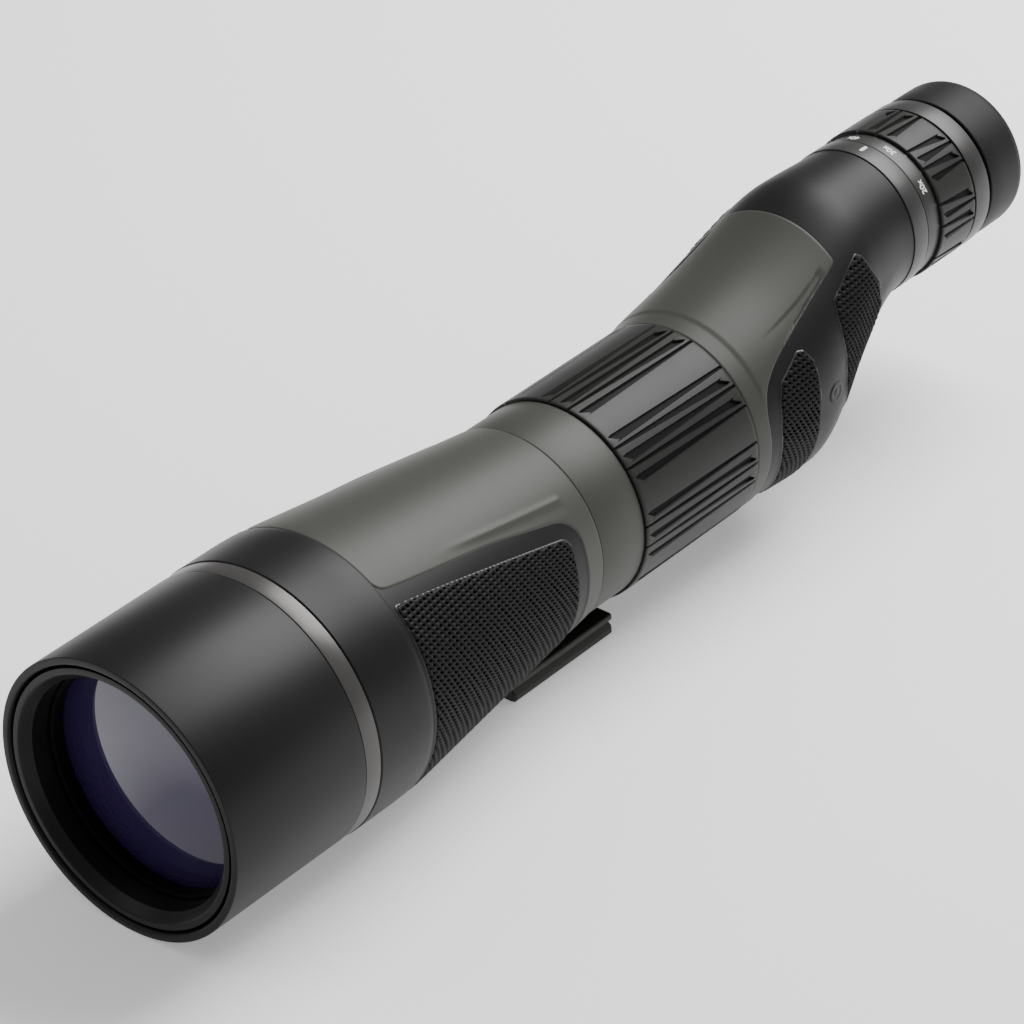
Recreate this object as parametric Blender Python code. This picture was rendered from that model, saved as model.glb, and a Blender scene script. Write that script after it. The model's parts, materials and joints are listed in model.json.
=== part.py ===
"""Straight-viewing spotting scope: sliding sunshade, turning tripod collar, focus ring, zoom and eyecup.

The optical axis runs along Y: the objective faces -Y and the eyepiece faces +Y. X = 0 is the middle plane.
The origin is the centre of the tripod foot's underside, and +Z is up.
Sizes below are in millimetres. A station is a distance along the optical axis from the sunshade's front rim.
Angles round an axis are in degrees from +X towards +Z.
"""

import math

import bmesh
import bpy
from mathutils import Matrix, Vector

MM = 0.001

# Gaps
CLEAR = 0.3
SLIDE_CLEAR = 0.4

# Sunshade and the tube that it slides on
HOOD_LENGTH = 61.7
HOOD_RADIUS = 51.4
HOOD_WALL = 3.2
HOOD_TRAVEL = 45.0
HOOD_LIP_LENGTH = 2.5
TUBE_RADIUS = 47.3
TUBE_WALL = 3.2
TUBE_SETBACK = 0.8
GUIDE_RING_WIDTH = 4.2
GUIDE_RING_DEPTH = 0.9
BAND_WIDTH = 6.7
BAND_FRONT_RADIUS = 51.0
BAND_REAR_RADIUS = 51.4

# Objective
BEZEL_LENGTH = 5.0
BEZEL_SPIGOT = 5.7
BEZEL_FACE = 2.7
BEZEL_CONE_LENGTH = 3.2
BEZEL_SPIGOT_WALL = 1.7
CELL_WALL = 1.2
LENS_RETAINER_WIDTH = 3.6
LENS_RETAINER_LIP = 1.5
SEAL_SIZE = 1.2
FRONT_LENS_EDGE = 4.0
FRONT_LENS_BULGE = 3.6
MIDDLE_LENS_EDGE = 8.0
INNER_BULGE = 3.0
SPACER_WIDTH = 5.0
REAR_LENS_EDGE = 4.6
REAR_LENS_HOLLOW = 1.5
CELL_SEAT = 4.0

# Barrel
BARREL_LENGTH = 131.2
BARREL_RADIUS = 51.7
BARREL_REAR_RADIUS = 38.7
SHOULDER_LENGTH = 24.5
ROUND_OVER = 16.0
BARREL_WALL = 2.4
TUBE_ENGAGEMENT = 10.7
REAR_TUBE_RADIUS = 34.0
REAR_TUBE_WALL = 2.8
BARREL_REAR_WALL = 4.2
BAFFLE_SETBACK = 40.0
BAFFLE_WIDTH = 2.0
BAFFLE_DEPTH = 5.0

# Rubber armour on the barrel and the housing
SKIN = 1.8
GRIP_DEPTH = 1.0
GRIP_PROUD = 0.2
ARMOUR_SETBACK = 26.0
ARMOUR_REAR_RING = 9.4
GRIP_REAR_BORDER = 5.7

# Tripod collar, foot and lock
COLLAR_WIDTH = 22.9
COLLAR_RADIUS = 38.3
AXIS_HEIGHT = 51.8
FOOT_LENGTH = 54.8
FOOT_WIDTH = 38.0
FOOT_THICKNESS = 8.9
FOOT_AHEAD = 10.1
FOOT_UPPER_FLANGE = 2.2
FOOT_LOWER_FLANGE = 3.3
FOOT_GROOVE_DEPTH = 1.6
FOOT_CHAMFER = 1.0
PEDESTAL_WIDTH = 24.0
SCREW_SPACING = 10.5
SCREW_RADIUS = 2.0
SCREW_HEAD_RADIUS = 3.5
SCREW_HEAD_HEIGHT = 4.0
SCREW_LENGTH = 10.0
BUSHING_RADIUS = 4.76
BUSHING_BORE = 3.17
BUSHING_AHEAD = 16.0
LOCK_ANGLE = 205.0
LOCK_BOSS_RADIUS = 6.5
LOCK_BOSS_HEIGHT = 2.7
LOCK_STUD_RADIUS = 3.0
LOCK_KNOB_RADIUS = 9.0
LOCK_KNOB_LENGTH = 12.5
LOCK_SHOE_LENGTH = 2.0

# Focus ring and focusing lens
FOCUS_WIDTH = 64.4
FOCUS_RADIUS = 39.3
FOCUS_CORE_WALL = 2.2
FOCUS_TURN = 170.0
FOCUS_LEAD = 16.0
FOCUS_PIN_RADIUS = 1.5
FOCUS_PIN_AHEAD = 28.0
FOCUS_CELL_LENGTH = 20.0
FOCUS_CELL_WALL = 3.2
FOCUS_CELL_SEAT = 3.0

# Prism housing
HOUSING_LENGTH = 108.0
HOUSING_RADIUS = 38.9
HOUSING_WALL = 2.3
HOUSING_END_WALL = 3.0
HOUSING_STEP = 13.5
FRONT_BAND = 7.1
TOP_PANEL_LENGTH = 55.3
WINDOW_WIDTH = 40.0
BADGE_RADIUS = 3.2
BADGE_THICKNESS = 1.0
PRISM_ROOM_BEHIND = 32.92
PRISM_WIDTH = 22.0
PRISM_BLUNTING = 0.9
PRISM_ROOM_ABOVE = 2.54
PRISM_ROOM_BESIDE = 3.81
PRISM_PLATE_THICKNESS = 2.4
PRISM_PLATE_GAP = 1.5
PRISM_HOLE_RADIUS = 10.5
STRAP_WIDTH = 4.0
STRAP_THICKNESS = 1.0

# Eyepiece
EYEPIECE_OFFSET = 34.06
NECK_RADIUS = 29.8
INDEX_WIDTH = 8.9
SCALE_BAND = 7.6
SCALE_RADIUS = 29.0
ZOOM_GRIP_WIDTH = 21.3
ZOOM_RADIUS = 30.3
ZOOM_CORE_RADIUS = 28.2
REAR_RING_WIDTH = 10.2
REAR_RING_RADIUS = 30.2
EYE_TUBE_RADIUS = 24.2
EYE_TUBE_WALL = 2.6
EYE_NECK_RADIUS = 23.0
EYE_NECK_LENGTH = 18.0
CAM_WALL = 1.6
ZOOM_LEAD = 18.85
ZOOM_TURN_LOW = -49.6
ZOOM_TURN_HIGH = 77.0
ZOOM_PIN_RADIUS = 1.2
ZOOM_CELL_LENGTH = 8.5
ZOOM_LENS_RADIUS = 18.0
FIELD_STOP_RADIUS = 12.0
EYE_LENS_RADIUS = 19.8
EYE_LENS_EDGE = 5.0
EYECUP_LENGTH = 23.0
EYECUP_RADIUS = 29.8
EYECUP_LIP = 2.3
EYECUP_LIP_RADIUS = 20.5
GUIDE_WALL = 1.0
SLEEVE_WALL = 2.0
GUIDE_LENGTH = 16.0

# Facets round a turned piece
LARGE = 32
MEDIUM = 24
SMALL = 20
LENS = 16
TINY = 8

# Stations, each from the piece in front of it
HOOD_REAR = HOOD_LENGTH
BAND_FRONT = HOOD_REAR + CLEAR
BAND_REAR = BAND_FRONT + BAND_WIDTH
BARREL_FRONT = BAND_REAR + CLEAR
BARREL_REAR = BARREL_FRONT + BARREL_LENGTH
COLLAR_FRONT = BARREL_REAR + CLEAR
COLLAR_REAR = COLLAR_FRONT + COLLAR_WIDTH
FOCUS_FRONT = COLLAR_REAR + CLEAR
FOCUS_REAR = FOCUS_FRONT + FOCUS_WIDTH
HOUSING_FRONT = FOCUS_REAR + CLEAR
HOUSING_REAR = HOUSING_FRONT + HOUSING_LENGTH
INDEX_FRONT = HOUSING_REAR + CLEAR
INDEX_REAR = INDEX_FRONT + INDEX_WIDTH
ZOOM_FRONT = INDEX_REAR + CLEAR
ZOOM_GRIP_FRONT = ZOOM_FRONT + SCALE_BAND + CLEAR
ZOOM_REAR = ZOOM_GRIP_FRONT + ZOOM_GRIP_WIDTH
REAR_RING_FRONT = ZOOM_REAR + CLEAR
REAR_RING_REAR = REAR_RING_FRONT + REAR_RING_WIDTH
EYECUP_FRONT = REAR_RING_REAR + CLEAR
EYECUP_REAR = EYECUP_FRONT + EYECUP_LENGTH
FOOT_STATION = (COLLAR_FRONT + COLLAR_REAR) / 2 - FOOT_AHEAD

# Radii worked out from the sizes above
HOOD_BORE = HOOD_RADIUS - HOOD_WALL
TUBE_BORE = TUBE_RADIUS - TUBE_WALL
BEZEL_MOUTH = TUBE_RADIUS - BEZEL_FACE
APERTURE_RADIUS = TUBE_BORE - CLEAR - BEZEL_SPIGOT_WALL
CELL_RADIUS = TUBE_BORE - CLEAR
CELL_BORE = CELL_RADIUS - CELL_WALL
OBJECTIVE_RADIUS = CELL_BORE - CLEAR
REAR_TUBE_BORE = REAR_TUBE_RADIUS - REAR_TUBE_WALL
COLLAR_BORE = REAR_TUBE_RADIUS + SLIDE_CLEAR
FOCUS_CORE_RADIUS = COLLAR_BORE + FOCUS_CORE_WALL
FOCUS_CELL_RADIUS = REAR_TUBE_BORE - SLIDE_CLEAR
FOCUS_CELL_BORE = FOCUS_CELL_RADIUS - FOCUS_CELL_WALL
EYE_TUBE_BORE = EYE_TUBE_RADIUS - EYE_TUBE_WALL
CAM_BORE = EYE_TUBE_RADIUS + SLIDE_CLEAR
CAM_RADIUS = CAM_BORE + CAM_WALL
ZOOM_CELL_RADIUS = EYE_TUBE_BORE - CLEAR
EYE_NECK_BORE = EYE_LENS_RADIUS + CLEAR
GUIDE_BORE = EYE_NECK_RADIUS + SLIDE_CLEAR
GUIDE_RADIUS = GUIDE_BORE + GUIDE_WALL
SLEEVE_BORE = GUIDE_RADIUS + SLIDE_CLEAR
SLEEVE_RADIUS = SLEEVE_BORE + SLEEVE_WALL
EYEPIECE_HEIGHT = AXIS_HEIGHT + EYEPIECE_OFFSET

# Colour, roughness and metallic value of each material
MATERIALS = {
    "black_satin": ((0.045, 0.045, 0.047), 0.42, 0.3),
    "black_rubber": ((0.03, 0.03, 0.031), 0.75, 0.0),
    "grip_rubber": ((0.022, 0.022, 0.023), 0.85, 0.0),
    "grey_armour": ((0.23, 0.235, 0.21), 0.5, 0.0),
    "warm_metal": ((0.33, 0.31, 0.3), 0.35, 0.9),
    "grey_paint": ((0.23, 0.235, 0.21), 0.45, 0.3),
    "focus_rubber": ((0.12, 0.122, 0.115), 0.6, 0.0),
    "foot_metal": ((0.06, 0.062, 0.052), 0.4, 0.6),
    "inner_black": ((0.012, 0.012, 0.012), 0.8, 0.2),
    "steel": ((0.55, 0.55, 0.56), 0.3, 1.0),
    "brass": ((0.6, 0.45, 0.18), 0.35, 1.0),
    "glass": ((0.5, 0.52, 0.6), 0.05, 0.0),
    "felt": ((0.02, 0.02, 0.02), 0.95, 0.0),
}


def clear_scene():
    for thing in list(bpy.data.objects):
        bpy.data.objects.remove(thing)


def material(slot):
    found = bpy.data.materials.get(slot)
    if found:
        return found
    colour, roughness, metallic = MATERIALS[slot]
    made = bpy.data.materials.new(slot)
    made.use_nodes = True
    shader = made.node_tree.nodes["Principled BSDF"]
    shader.inputs["Base Color"].default_value = (*colour, 1.0)
    shader.inputs["Roughness"].default_value = roughness
    shader.inputs["Metallic"].default_value = metallic
    return made


def along(station):
    """World Y, in millimetres, of a station."""
    return station - FOOT_STATION


def add_object(name, slot, mesh_source, height=0.0):
    """An object from a bmesh in millimetres whose origin lies on the axis at this height."""
    bmesh.ops.recalc_face_normals(mesh_source, faces=mesh_source.faces)
    bmesh.ops.scale(mesh_source, vec=(MM, MM, MM), verts=mesh_source.verts)
    mesh = bpy.data.meshes.new(name)
    mesh_source.to_mesh(mesh)
    mesh_source.free()
    mesh.shade_smooth()
    mesh.set_sharp_from_angle(angle=math.radians(32))
    made = bpy.data.objects.new(name, mesh)
    made.location = (0.0, 0.0, height * MM)
    bpy.context.scene.collection.objects.link(made)
    if slot:
        mesh.materials.append(material(slot))
    else:
        made.hide_render = True
        made.display_type = "WIRE"
    return made


def turned(name, slot, outline, segments=SMALL, height=AXIS_HEIGHT):
    """A body turned about the optical axis from a closed outline of (station, radius) points."""
    shape = bmesh.new()
    points = [shape.verts.new((radius, along(station), 0.0)) for station, radius in outline]
    ring = len(points)
    on_axis = [radius == 0 for _, radius in outline]
    for first in range(ring):
        second = (first + 1) % ring
        if on_axis[first] and on_axis[second]:
            continue
        shape.edges.new((points[first], points[second]))
    bmesh.ops.spin(
        shape, geom=list(shape.verts) + list(shape.edges), cent=(0, 0, 0), axis=(0, 1, 0),
        angle=math.tau, steps=segments, use_merge=True,
    )
    bmesh.ops.remove_doubles(shape, verts=shape.verts, dist=0.0005)
    return add_object(name, slot, shape, height)


def ring_outline(front, rear, inner, outer, chamfer=0.0):
    """A square-cut ring with its two outer edges chamfered."""
    outline = [(front, inner), (rear, inner)]
    if chamfer:
        outline += [(rear, outer - chamfer), (rear - chamfer, outer), (front + chamfer, outer)]
        outline += [(front, outer - chamfer)]
    else:
        outline += [(rear, outer), (front, outer)]
    return outline


def bowed_edge(station, radius, bulge, steps=3):
    """(station, radius) points along a lens face, from its rim to its middle, which is bulge further on."""
    points = []
    for step in range(steps + 1):
        distance = radius * (1 - step / steps)
        points.append((station + bulge * (1 - (distance / radius) ** 2), distance))
    return points


def lens(name, radius, front, rear, front_bulge, rear_bulge, height=AXIS_HEIGHT):
    """A lens with rim planes at front and rear. A face bulges towards +Y for a positive value."""
    face = bowed_edge(front, radius, front_bulge)
    back = bowed_edge(rear, radius, rear_bulge)
    return turned(name, "glass", face + back[::-1], LENS, height)


def block(name, slot, low, high, height=0.0):
    """A box between two corners, in millimetres."""
    shape = bmesh.new()
    bmesh.ops.create_cube(shape, size=1.0)
    for vert in shape.verts:
        share = vert.co + Vector((0.5, 0.5, 0.5))
        vert.co = Vector([low[i] + share[i] * (high[i] - low[i]) for i in range(3)])
    return add_object(name, slot, shape, height)


def rod(name, slot, start, end, radius, segments=TINY, height=0.0, end_radius=None):
    """A straight round rod between two points, in millimetres."""
    start = Vector(start)
    end = Vector(end)
    shape = bmesh.new()
    bmesh.ops.create_cone(
        shape, cap_ends=True, segments=segments, radius1=radius,
        radius2=radius if end_radius is None else end_radius, depth=(end - start).length,
    )
    turn = (end - start).to_track_quat("Z", "Y").to_matrix().to_4x4()
    bmesh.ops.transform(shape, matrix=Matrix.Translation((start + end) / 2) @ turn, verts=shape.verts)
    return add_object(name, slot, shape, height)


def extruded(name, slot, outline, place, depth):
    """A closed outline of (u, v) points put in space by place(u, v, w), with w running from 0 to depth."""
    shape = bmesh.new()
    near = [shape.verts.new(place(u, v, 0.0)) for u, v in outline]
    far = [shape.verts.new(place(u, v, depth)) for u, v in outline]
    shape.faces.new(near)
    shape.faces.new(far[::-1])
    count = len(outline)
    for first in range(count):
        second = (first + 1) % count
        shape.faces.new((near[first], far[first], far[second], near[second]))
    return add_object(name, slot, shape)


def boolean(target, operation, tool):
    """Adds a live Boolean to target and hides its tool."""
    tool.hide_render = True
    tool.display_type = "WIRE"
    step = target.modifiers.new(operation.lower() + "_" + tool.name, "BOOLEAN")
    step.operation = operation
    step.object = tool
    step.solver = "EXACT"
    return target


def cut(target, tool):
    return boolean(target, "DIFFERENCE", tool)


def join(target, tool):
    return boolean(target, "UNION", tool)


def round_axis(radius, angle, station):
    """The point at this radius and angle from an axis."""
    turn = math.radians(angle)
    return Vector((radius * math.cos(turn), along(station), radius * math.sin(turn)))


def helical_cutter(name, station, angle, lead, low, high, inner, outer, width, height, steps=24):
    """A square band along a helix that passes the station at angle. It runs between two turns in degrees."""
    shape = bmesh.new()
    rings = []
    for step in range(steps + 1):
        turn = low + (high - low) * step / steps
        middle = station + lead * turn / 360.0
        corners = ((inner, -width / 2), (outer, -width / 2), (outer, width / 2), (inner, width / 2))
        points = [round_axis(radius, angle + turn, middle + side) for radius, side in corners]
        rings.append([shape.verts.new(point) for point in points])
    for first, second in zip(rings, rings[1:]):
        for corner in range(4):
            after = (corner + 1) % 4
            shape.faces.new((first[corner], first[after], second[after], second[corner]))
    shape.faces.new(rings[0])
    shape.faces.new(rings[-1][::-1])
    return add_object(name, None, shape, height)


def smooth_line(knots, station):
    """A smooth curve through (station, value, slope) knots."""
    for (start, value, slope), (end, next_value, next_slope) in zip(knots, knots[1:]):
        if station <= end or end == knots[-1][0]:
            break
    span = end - start
    share = min(1.0, max(0.0, (station - start) / span))
    square = share * share
    cube = square * share
    return (
        (2 * cube - 3 * square + 1) * value
        + (cube - 2 * square + share) * span * slope
        + (3 * square - 2 * cube) * next_value
        + (cube - square) * span * next_slope
    )


# The barrel's outer surface


def barrel_radius(station):
    """A straight shoulder that rounds over into a straight taper."""
    shoulder = BARREL_FRONT + SHOULDER_LENGTH
    slope = (BARREL_RADIUS - BARREL_REAR_RADIUS) / (BARREL_REAR - shoulder)
    run = station - shoulder
    if run <= -ROUND_OVER / 2:
        return BARREL_RADIUS
    if run >= ROUND_OVER / 2:
        return BARREL_RADIUS - slope * run
    return BARREL_RADIUS - slope * (run + ROUND_OVER / 2) ** 2 / (2 * ROUND_OVER)


def barrel_point(station, angle, depth):
    return round_axis(barrel_radius(station) - depth, angle, station)


def barrel_stations(front, rear):
    """Stations that follow the barrel's round-over and then its straight taper."""
    shoulder = BARREL_FRONT + SHOULDER_LENGTH
    bends = [shoulder - ROUND_OVER / 2 + ROUND_OVER * step / 3 for step in range(4)]
    return [front] + [bend for bend in bends if front + 1 < bend < rear - 1] + [rear]


ARMOUR_FRONT = BARREL_FRONT + ARMOUR_SETBACK
ARMOUR_REAR = BARREL_REAR - ARMOUR_REAR_RING


def saddle_edge(station):
    """Angle of the top saddle's lower edge, which drops towards the rear."""
    reach = ARMOUR_REAR - ARMOUR_FRONT
    knots = (
        (ARMOUR_FRONT, 55.0, -0.2),
        (ARMOUR_FRONT + reach * 0.52, 47.3, -0.17),
        (ARMOUR_REAR, 35.0, -0.35),
    )
    return smooth_line(knots, station)


def barrel_grip_edge(station):
    """Angle of the side grip's upper edge."""
    reach = ARMOUR_REAR - ARMOUR_FRONT
    knots = (
        (ARMOUR_FRONT, 48.5, -0.2),
        (ARMOUR_FRONT + reach * 0.5, 38.5, -0.24),
        (ARMOUR_REAR, 26.0, -0.26),
    )
    return smooth_line(knots, station)


# The prism housing's outer surface: upright sides closed by round arches above and below


# Each prism steps the light diagonally. The walls stand clear of the prisms' outermost corners.
PRISM_STEP = EYEPIECE_OFFSET / math.sqrt(2)
PRISM_PLANE = HOUSING_REAR - PRISM_STEP - PRISM_ROOM_BEHIND
PRISM_TIP = PRISM_STEP - PRISM_BLUNTING + PRISM_WIDTH / 2
HIGH_AT_PRISMS = (PRISM_STEP * 1.5 + PRISM_TIP) / math.sqrt(2) + SKIN + HOUSING_WALL + PRISM_ROOM_ABOVE
WIDE_AT_PRISMS = (PRISM_STEP * 0.5 + PRISM_TIP) / math.sqrt(2) + SKIN + HOUSING_WALL + PRISM_ROOM_BESIDE


def housing_top(station):
    top = EYEPIECE_OFFSET + NECK_RADIUS
    knots = (
        (HOUSING_FRONT, HOUSING_RADIUS, 0.18),
        (PRISM_PLANE, HIGH_AT_PRISMS - 3.46, 0.405),
        (PRISM_PLANE + 8.0, HIGH_AT_PRISMS, 0.46),
        (HOUSING_REAR - 26.6, top + 0.1, 0.05),
        (HOUSING_REAR, top, 0.0),
    )
    return smooth_line(knots, station)


def housing_bottom(station):
    bottom = EYEPIECE_OFFSET - NECK_RADIUS
    knots = (
        (HOUSING_FRONT, -HOUSING_RADIUS, 0.1),
        (HOUSING_REAR - 65.7, -HOUSING_RADIUS - 1.0, 0.0),
        (HOUSING_REAR - 38.5, -HOUSING_RADIUS + 20.66, 0.87),
        (HOUSING_REAR - 24.1, -HOUSING_RADIUS + 32.66, 0.8),
        (HOUSING_REAR, bottom, 0.0),
    )
    return smooth_line(knots, station)


def housing_half_width(station):
    knots = (
        (HOUSING_FRONT, HOUSING_RADIUS, 0.1),
        (HOUSING_REAR - 68.9, WIDE_AT_PRISMS, 0.0),
        (HOUSING_REAR - 22.3, NECK_RADIUS + 2.2, -0.13),
        (HOUSING_REAR, NECK_RADIUS, 0.0),
    )
    return smooth_line(knots, station)


SIDE_ANGLE = 2.0  # within this angle of the side, a section follows the upright wall


def housing_point(station, angle, depth):
    half_width = housing_half_width(station)
    upper = housing_top(station) - half_width
    lower = min(housing_bottom(station) + half_width, upper)
    turn = math.radians(angle)
    rise = max(-1.0, min(1.0, math.sin(turn) / math.sin(math.radians(SIDE_ANGLE))))
    centre = (upper + lower) / 2 + (upper - lower) / 2 * rise
    radius = half_width - depth
    return Vector((radius * math.cos(turn), along(station), centre + radius * math.sin(turn)))


ARCH_STEPS = 6
UPPER = [SIDE_ANGLE + (90.0 - SIDE_ANGLE) * step / ARCH_STEPS for step in range(ARCH_STEPS + 1)]
UPPER += [180.0 - angle for angle in UPPER[-2::-1]]
AROUND = [0.0] + UPPER + [180.0] + [360.0 - angle for angle in UPPER[::-1]]


def housing_stations(front, rear):
    """Evenly stepped stations that every piece of the housing shares, between a piece's own ends."""
    steps = round(HOUSING_LENGTH / HOUSING_STEP)
    shared = [HOUSING_FRONT + HOUSING_LENGTH * step / steps for step in range(steps + 1)]
    return [front] + [station for station in shared if front + 0.6 < station < rear - 0.6] + [rear]


PANEL_FRONT = HOUSING_FRONT + FRONT_BAND
PANEL_REAR = PANEL_FRONT + TOP_PANEL_LENGTH


def panel_edge(station):
    """Angle of the top panel's lower edge."""
    knots = (
        (PANEL_FRONT, 27.0, 1.6),
        (PANEL_FRONT + 15.0, 40.0, 0.45),
        (PANEL_REAR, 47.0, 0.0),
    )
    return smooth_line(knots, station)


def skin(name, slot, surface, rows, inner, outer, around=False, height=AXIS_HEIGHT):
    """A skin over a grid of (station, angle) points, from depth inner up to depth outer below the surface."""
    shape = bmesh.new()
    over = [[shape.verts.new(surface(s, a, outer)) for s, a in row] for row in rows]
    under = [[shape.verts.new(surface(s, a, inner)) for s, a in row] for row in rows]
    count = len(rows[0])
    spans = range(count if around else count - 1)
    for row in range(len(rows) - 1):
        for first in spans:
            second = (first + 1) % count
            after = row + 1
            upper = (over[row][first], over[row][second], over[after][second], over[after][first])
            lower = (under[row][first], under[after][first], under[after][second], under[row][second])
            shape.faces.new(upper)
            shape.faces.new(lower)
    for row in (0, len(rows) - 1):
        for first in spans:
            second = (first + 1) % count
            shape.faces.new((over[row][first], over[row][second], under[row][second], under[row][first]))
    if not around:
        for column in (0, count - 1):
            for row in range(len(rows) - 1):
                shape.faces.new(
                    (over[row][column], over[row + 1][column], under[row + 1][column], under[row][column])
                )
    return add_object(name, slot, shape, height)


def fan(low, high, steps):
    return [low + (high - low) * step / steps for step in range(steps + 1)]


def mirrored(rows):
    """The same grid on the -X side."""
    return [[(station, 180.0 - angle) for station, angle in row] for row in rows]


def degrees_for(gap, radius):
    return math.degrees(gap / radius)


# Pieces


def make_sunshade():
    lip = HOOD_REAR - HOOD_LIP_LENGTH
    lip_bore = TUBE_RADIUS + SLIDE_CLEAR
    outline = [
        (0.0, HOOD_BORE + 0.6), (1.0, HOOD_BORE), (lip, HOOD_BORE), (lip, lip_bore),
        (HOOD_REAR, lip_bore), (HOOD_REAR, HOOD_RADIUS - 0.4), (HOOD_REAR - 0.4, HOOD_RADIUS),
        (0.8, HOOD_RADIUS), (0.0, HOOD_RADIUS - 0.8),
    ]
    turned("sunshade", "black_satin", outline, LARGE)


def make_front_tube():
    """The tube that the sunshade slides on. Its guide ring stops the sunshade's lip at full travel."""
    front = TUBE_SETBACK + BEZEL_LENGTH + CLEAR
    stop = HOOD_REAR - HOOD_LIP_LENGTH - HOOD_TRAVEL - SLIDE_CLEAR
    groove_rear = stop + CLEAR
    groove = groove_rear - GUIDE_RING_WIDTH - 2 * CLEAR
    groove_floor = TUBE_RADIUS - GUIDE_RING_DEPTH
    rear = BARREL_FRONT + TUBE_ENGAGEMENT
    outline = [
        (front, TUBE_BORE), (rear, TUBE_BORE), (rear, TUBE_RADIUS),
        (groove_rear, TUBE_RADIUS), (groove_rear, groove_floor), (groove, groove_floor),
        (groove, TUBE_RADIUS), (front, TUBE_RADIUS),
    ]
    turned("front_tube", "black_satin", outline, LARGE)
    guide = ring_outline(
        groove + CLEAR, stop, groove_floor + CLEAR, HOOD_BORE - CLEAR
    )
    turned("sunshade_guide_ring", "felt", guide, LARGE)


def make_name_band():
    bore = TUBE_RADIUS + CLEAR
    outline = [
        (BAND_FRONT, bore), (BAND_REAR, bore), (BAND_REAR, BAND_REAR_RADIUS), (BAND_FRONT, BAND_FRONT_RADIUS),
    ]
    turned("name_band", "warm_metal", outline, LARGE)


def make_objective():
    """The bezel, then the lens cell and what is stacked in it from front to rear."""
    front = TUBE_SETBACK
    shoulder = front + BEZEL_LENGTH
    spigot = shoulder + BEZEL_SPIGOT
    outline = [
        (front, BEZEL_MOUTH), (front + BEZEL_CONE_LENGTH, APERTURE_RADIUS), (spigot, APERTURE_RADIUS),
        (spigot, CELL_RADIUS), (shoulder, CELL_RADIUS), (shoulder, TUBE_RADIUS), (front, TUBE_RADIUS),
    ]
    turned("objective_bezel", "black_satin", outline, LARGE)
    cell_front = spigot + CLEAR
    retainer = cell_front + 0.6
    retainer_rear = retainer + LENS_RETAINER_WIDTH
    turned(
        "objective_retaining_ring", "inner_black",
        ring_outline(retainer, retainer_rear, OBJECTIVE_RADIUS - LENS_RETAINER_LIP, OBJECTIVE_RADIUS), LENS,
    )
    seal = retainer_rear + CLEAR
    seal_rear = seal + SEAL_SIZE
    turned(
        "objective_seal", "black_rubber",
        ring_outline(seal, seal_rear, OBJECTIVE_RADIUS - SEAL_SIZE, OBJECTIVE_RADIUS), LENS,
    )
    first = seal_rear + 2 * CLEAR
    first_rear = first + FRONT_LENS_EDGE
    lens("objective_lens_front", OBJECTIVE_RADIUS, first, first_rear, -FRONT_LENS_BULGE, INNER_BULGE)
    second = first_rear + CLEAR
    second_rear = second + MIDDLE_LENS_EDGE
    lens("objective_lens_middle", OBJECTIVE_RADIUS, second, second_rear, INNER_BULGE, 1.0)
    spacer = second_rear + CLEAR
    spacer_rear = spacer + SPACER_WIDTH
    turned(
        "lens_spacer", "inner_black",
        ring_outline(spacer, spacer_rear, OBJECTIVE_RADIUS - LENS_RETAINER_LIP, OBJECTIVE_RADIUS), LENS,
    )
    third = spacer_rear + CLEAR
    third_rear = third + REAR_LENS_EDGE
    lens("objective_lens_rear", OBJECTIVE_RADIUS, third, third_rear, -INNER_BULGE, -REAR_LENS_HOLLOW)
    seat = third_rear + CLEAR
    seat_bore = OBJECTIVE_RADIUS - LENS_RETAINER_LIP
    outline = [
        (cell_front, CELL_BORE), (seat, CELL_BORE), (seat, seat_bore), (seat + CELL_SEAT, seat_bore),
        (seat + CELL_SEAT, CELL_RADIUS), (cell_front, CELL_RADIUS),
    ]
    turned("objective_cell", "inner_black", outline, LARGE)


def barrel_inside(station):
    """The barrel's inner radius, a wall inside the armour's floor."""
    return barrel_radius(station) - SKIN - BARREL_WALL


def barrel_bore(station):
    """The barrel's inner radius behind the front tube's seat, a straight run to its rear wall."""
    rear = BARREL_REAR - BARREL_REAR_WALL
    front = min(BARREL_FRONT + SHOULDER_LENGTH + ROUND_OVER / 2, rear - 5.0)
    wide = min(TUBE_RADIUS + CLEAR, barrel_inside(front))
    return wide + (barrel_inside(rear) - wide) * (station - front) / (rear - front)


def focus_pin_station():
    return FOCUS_REAR - FOCUS_PIN_AHEAD


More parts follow.
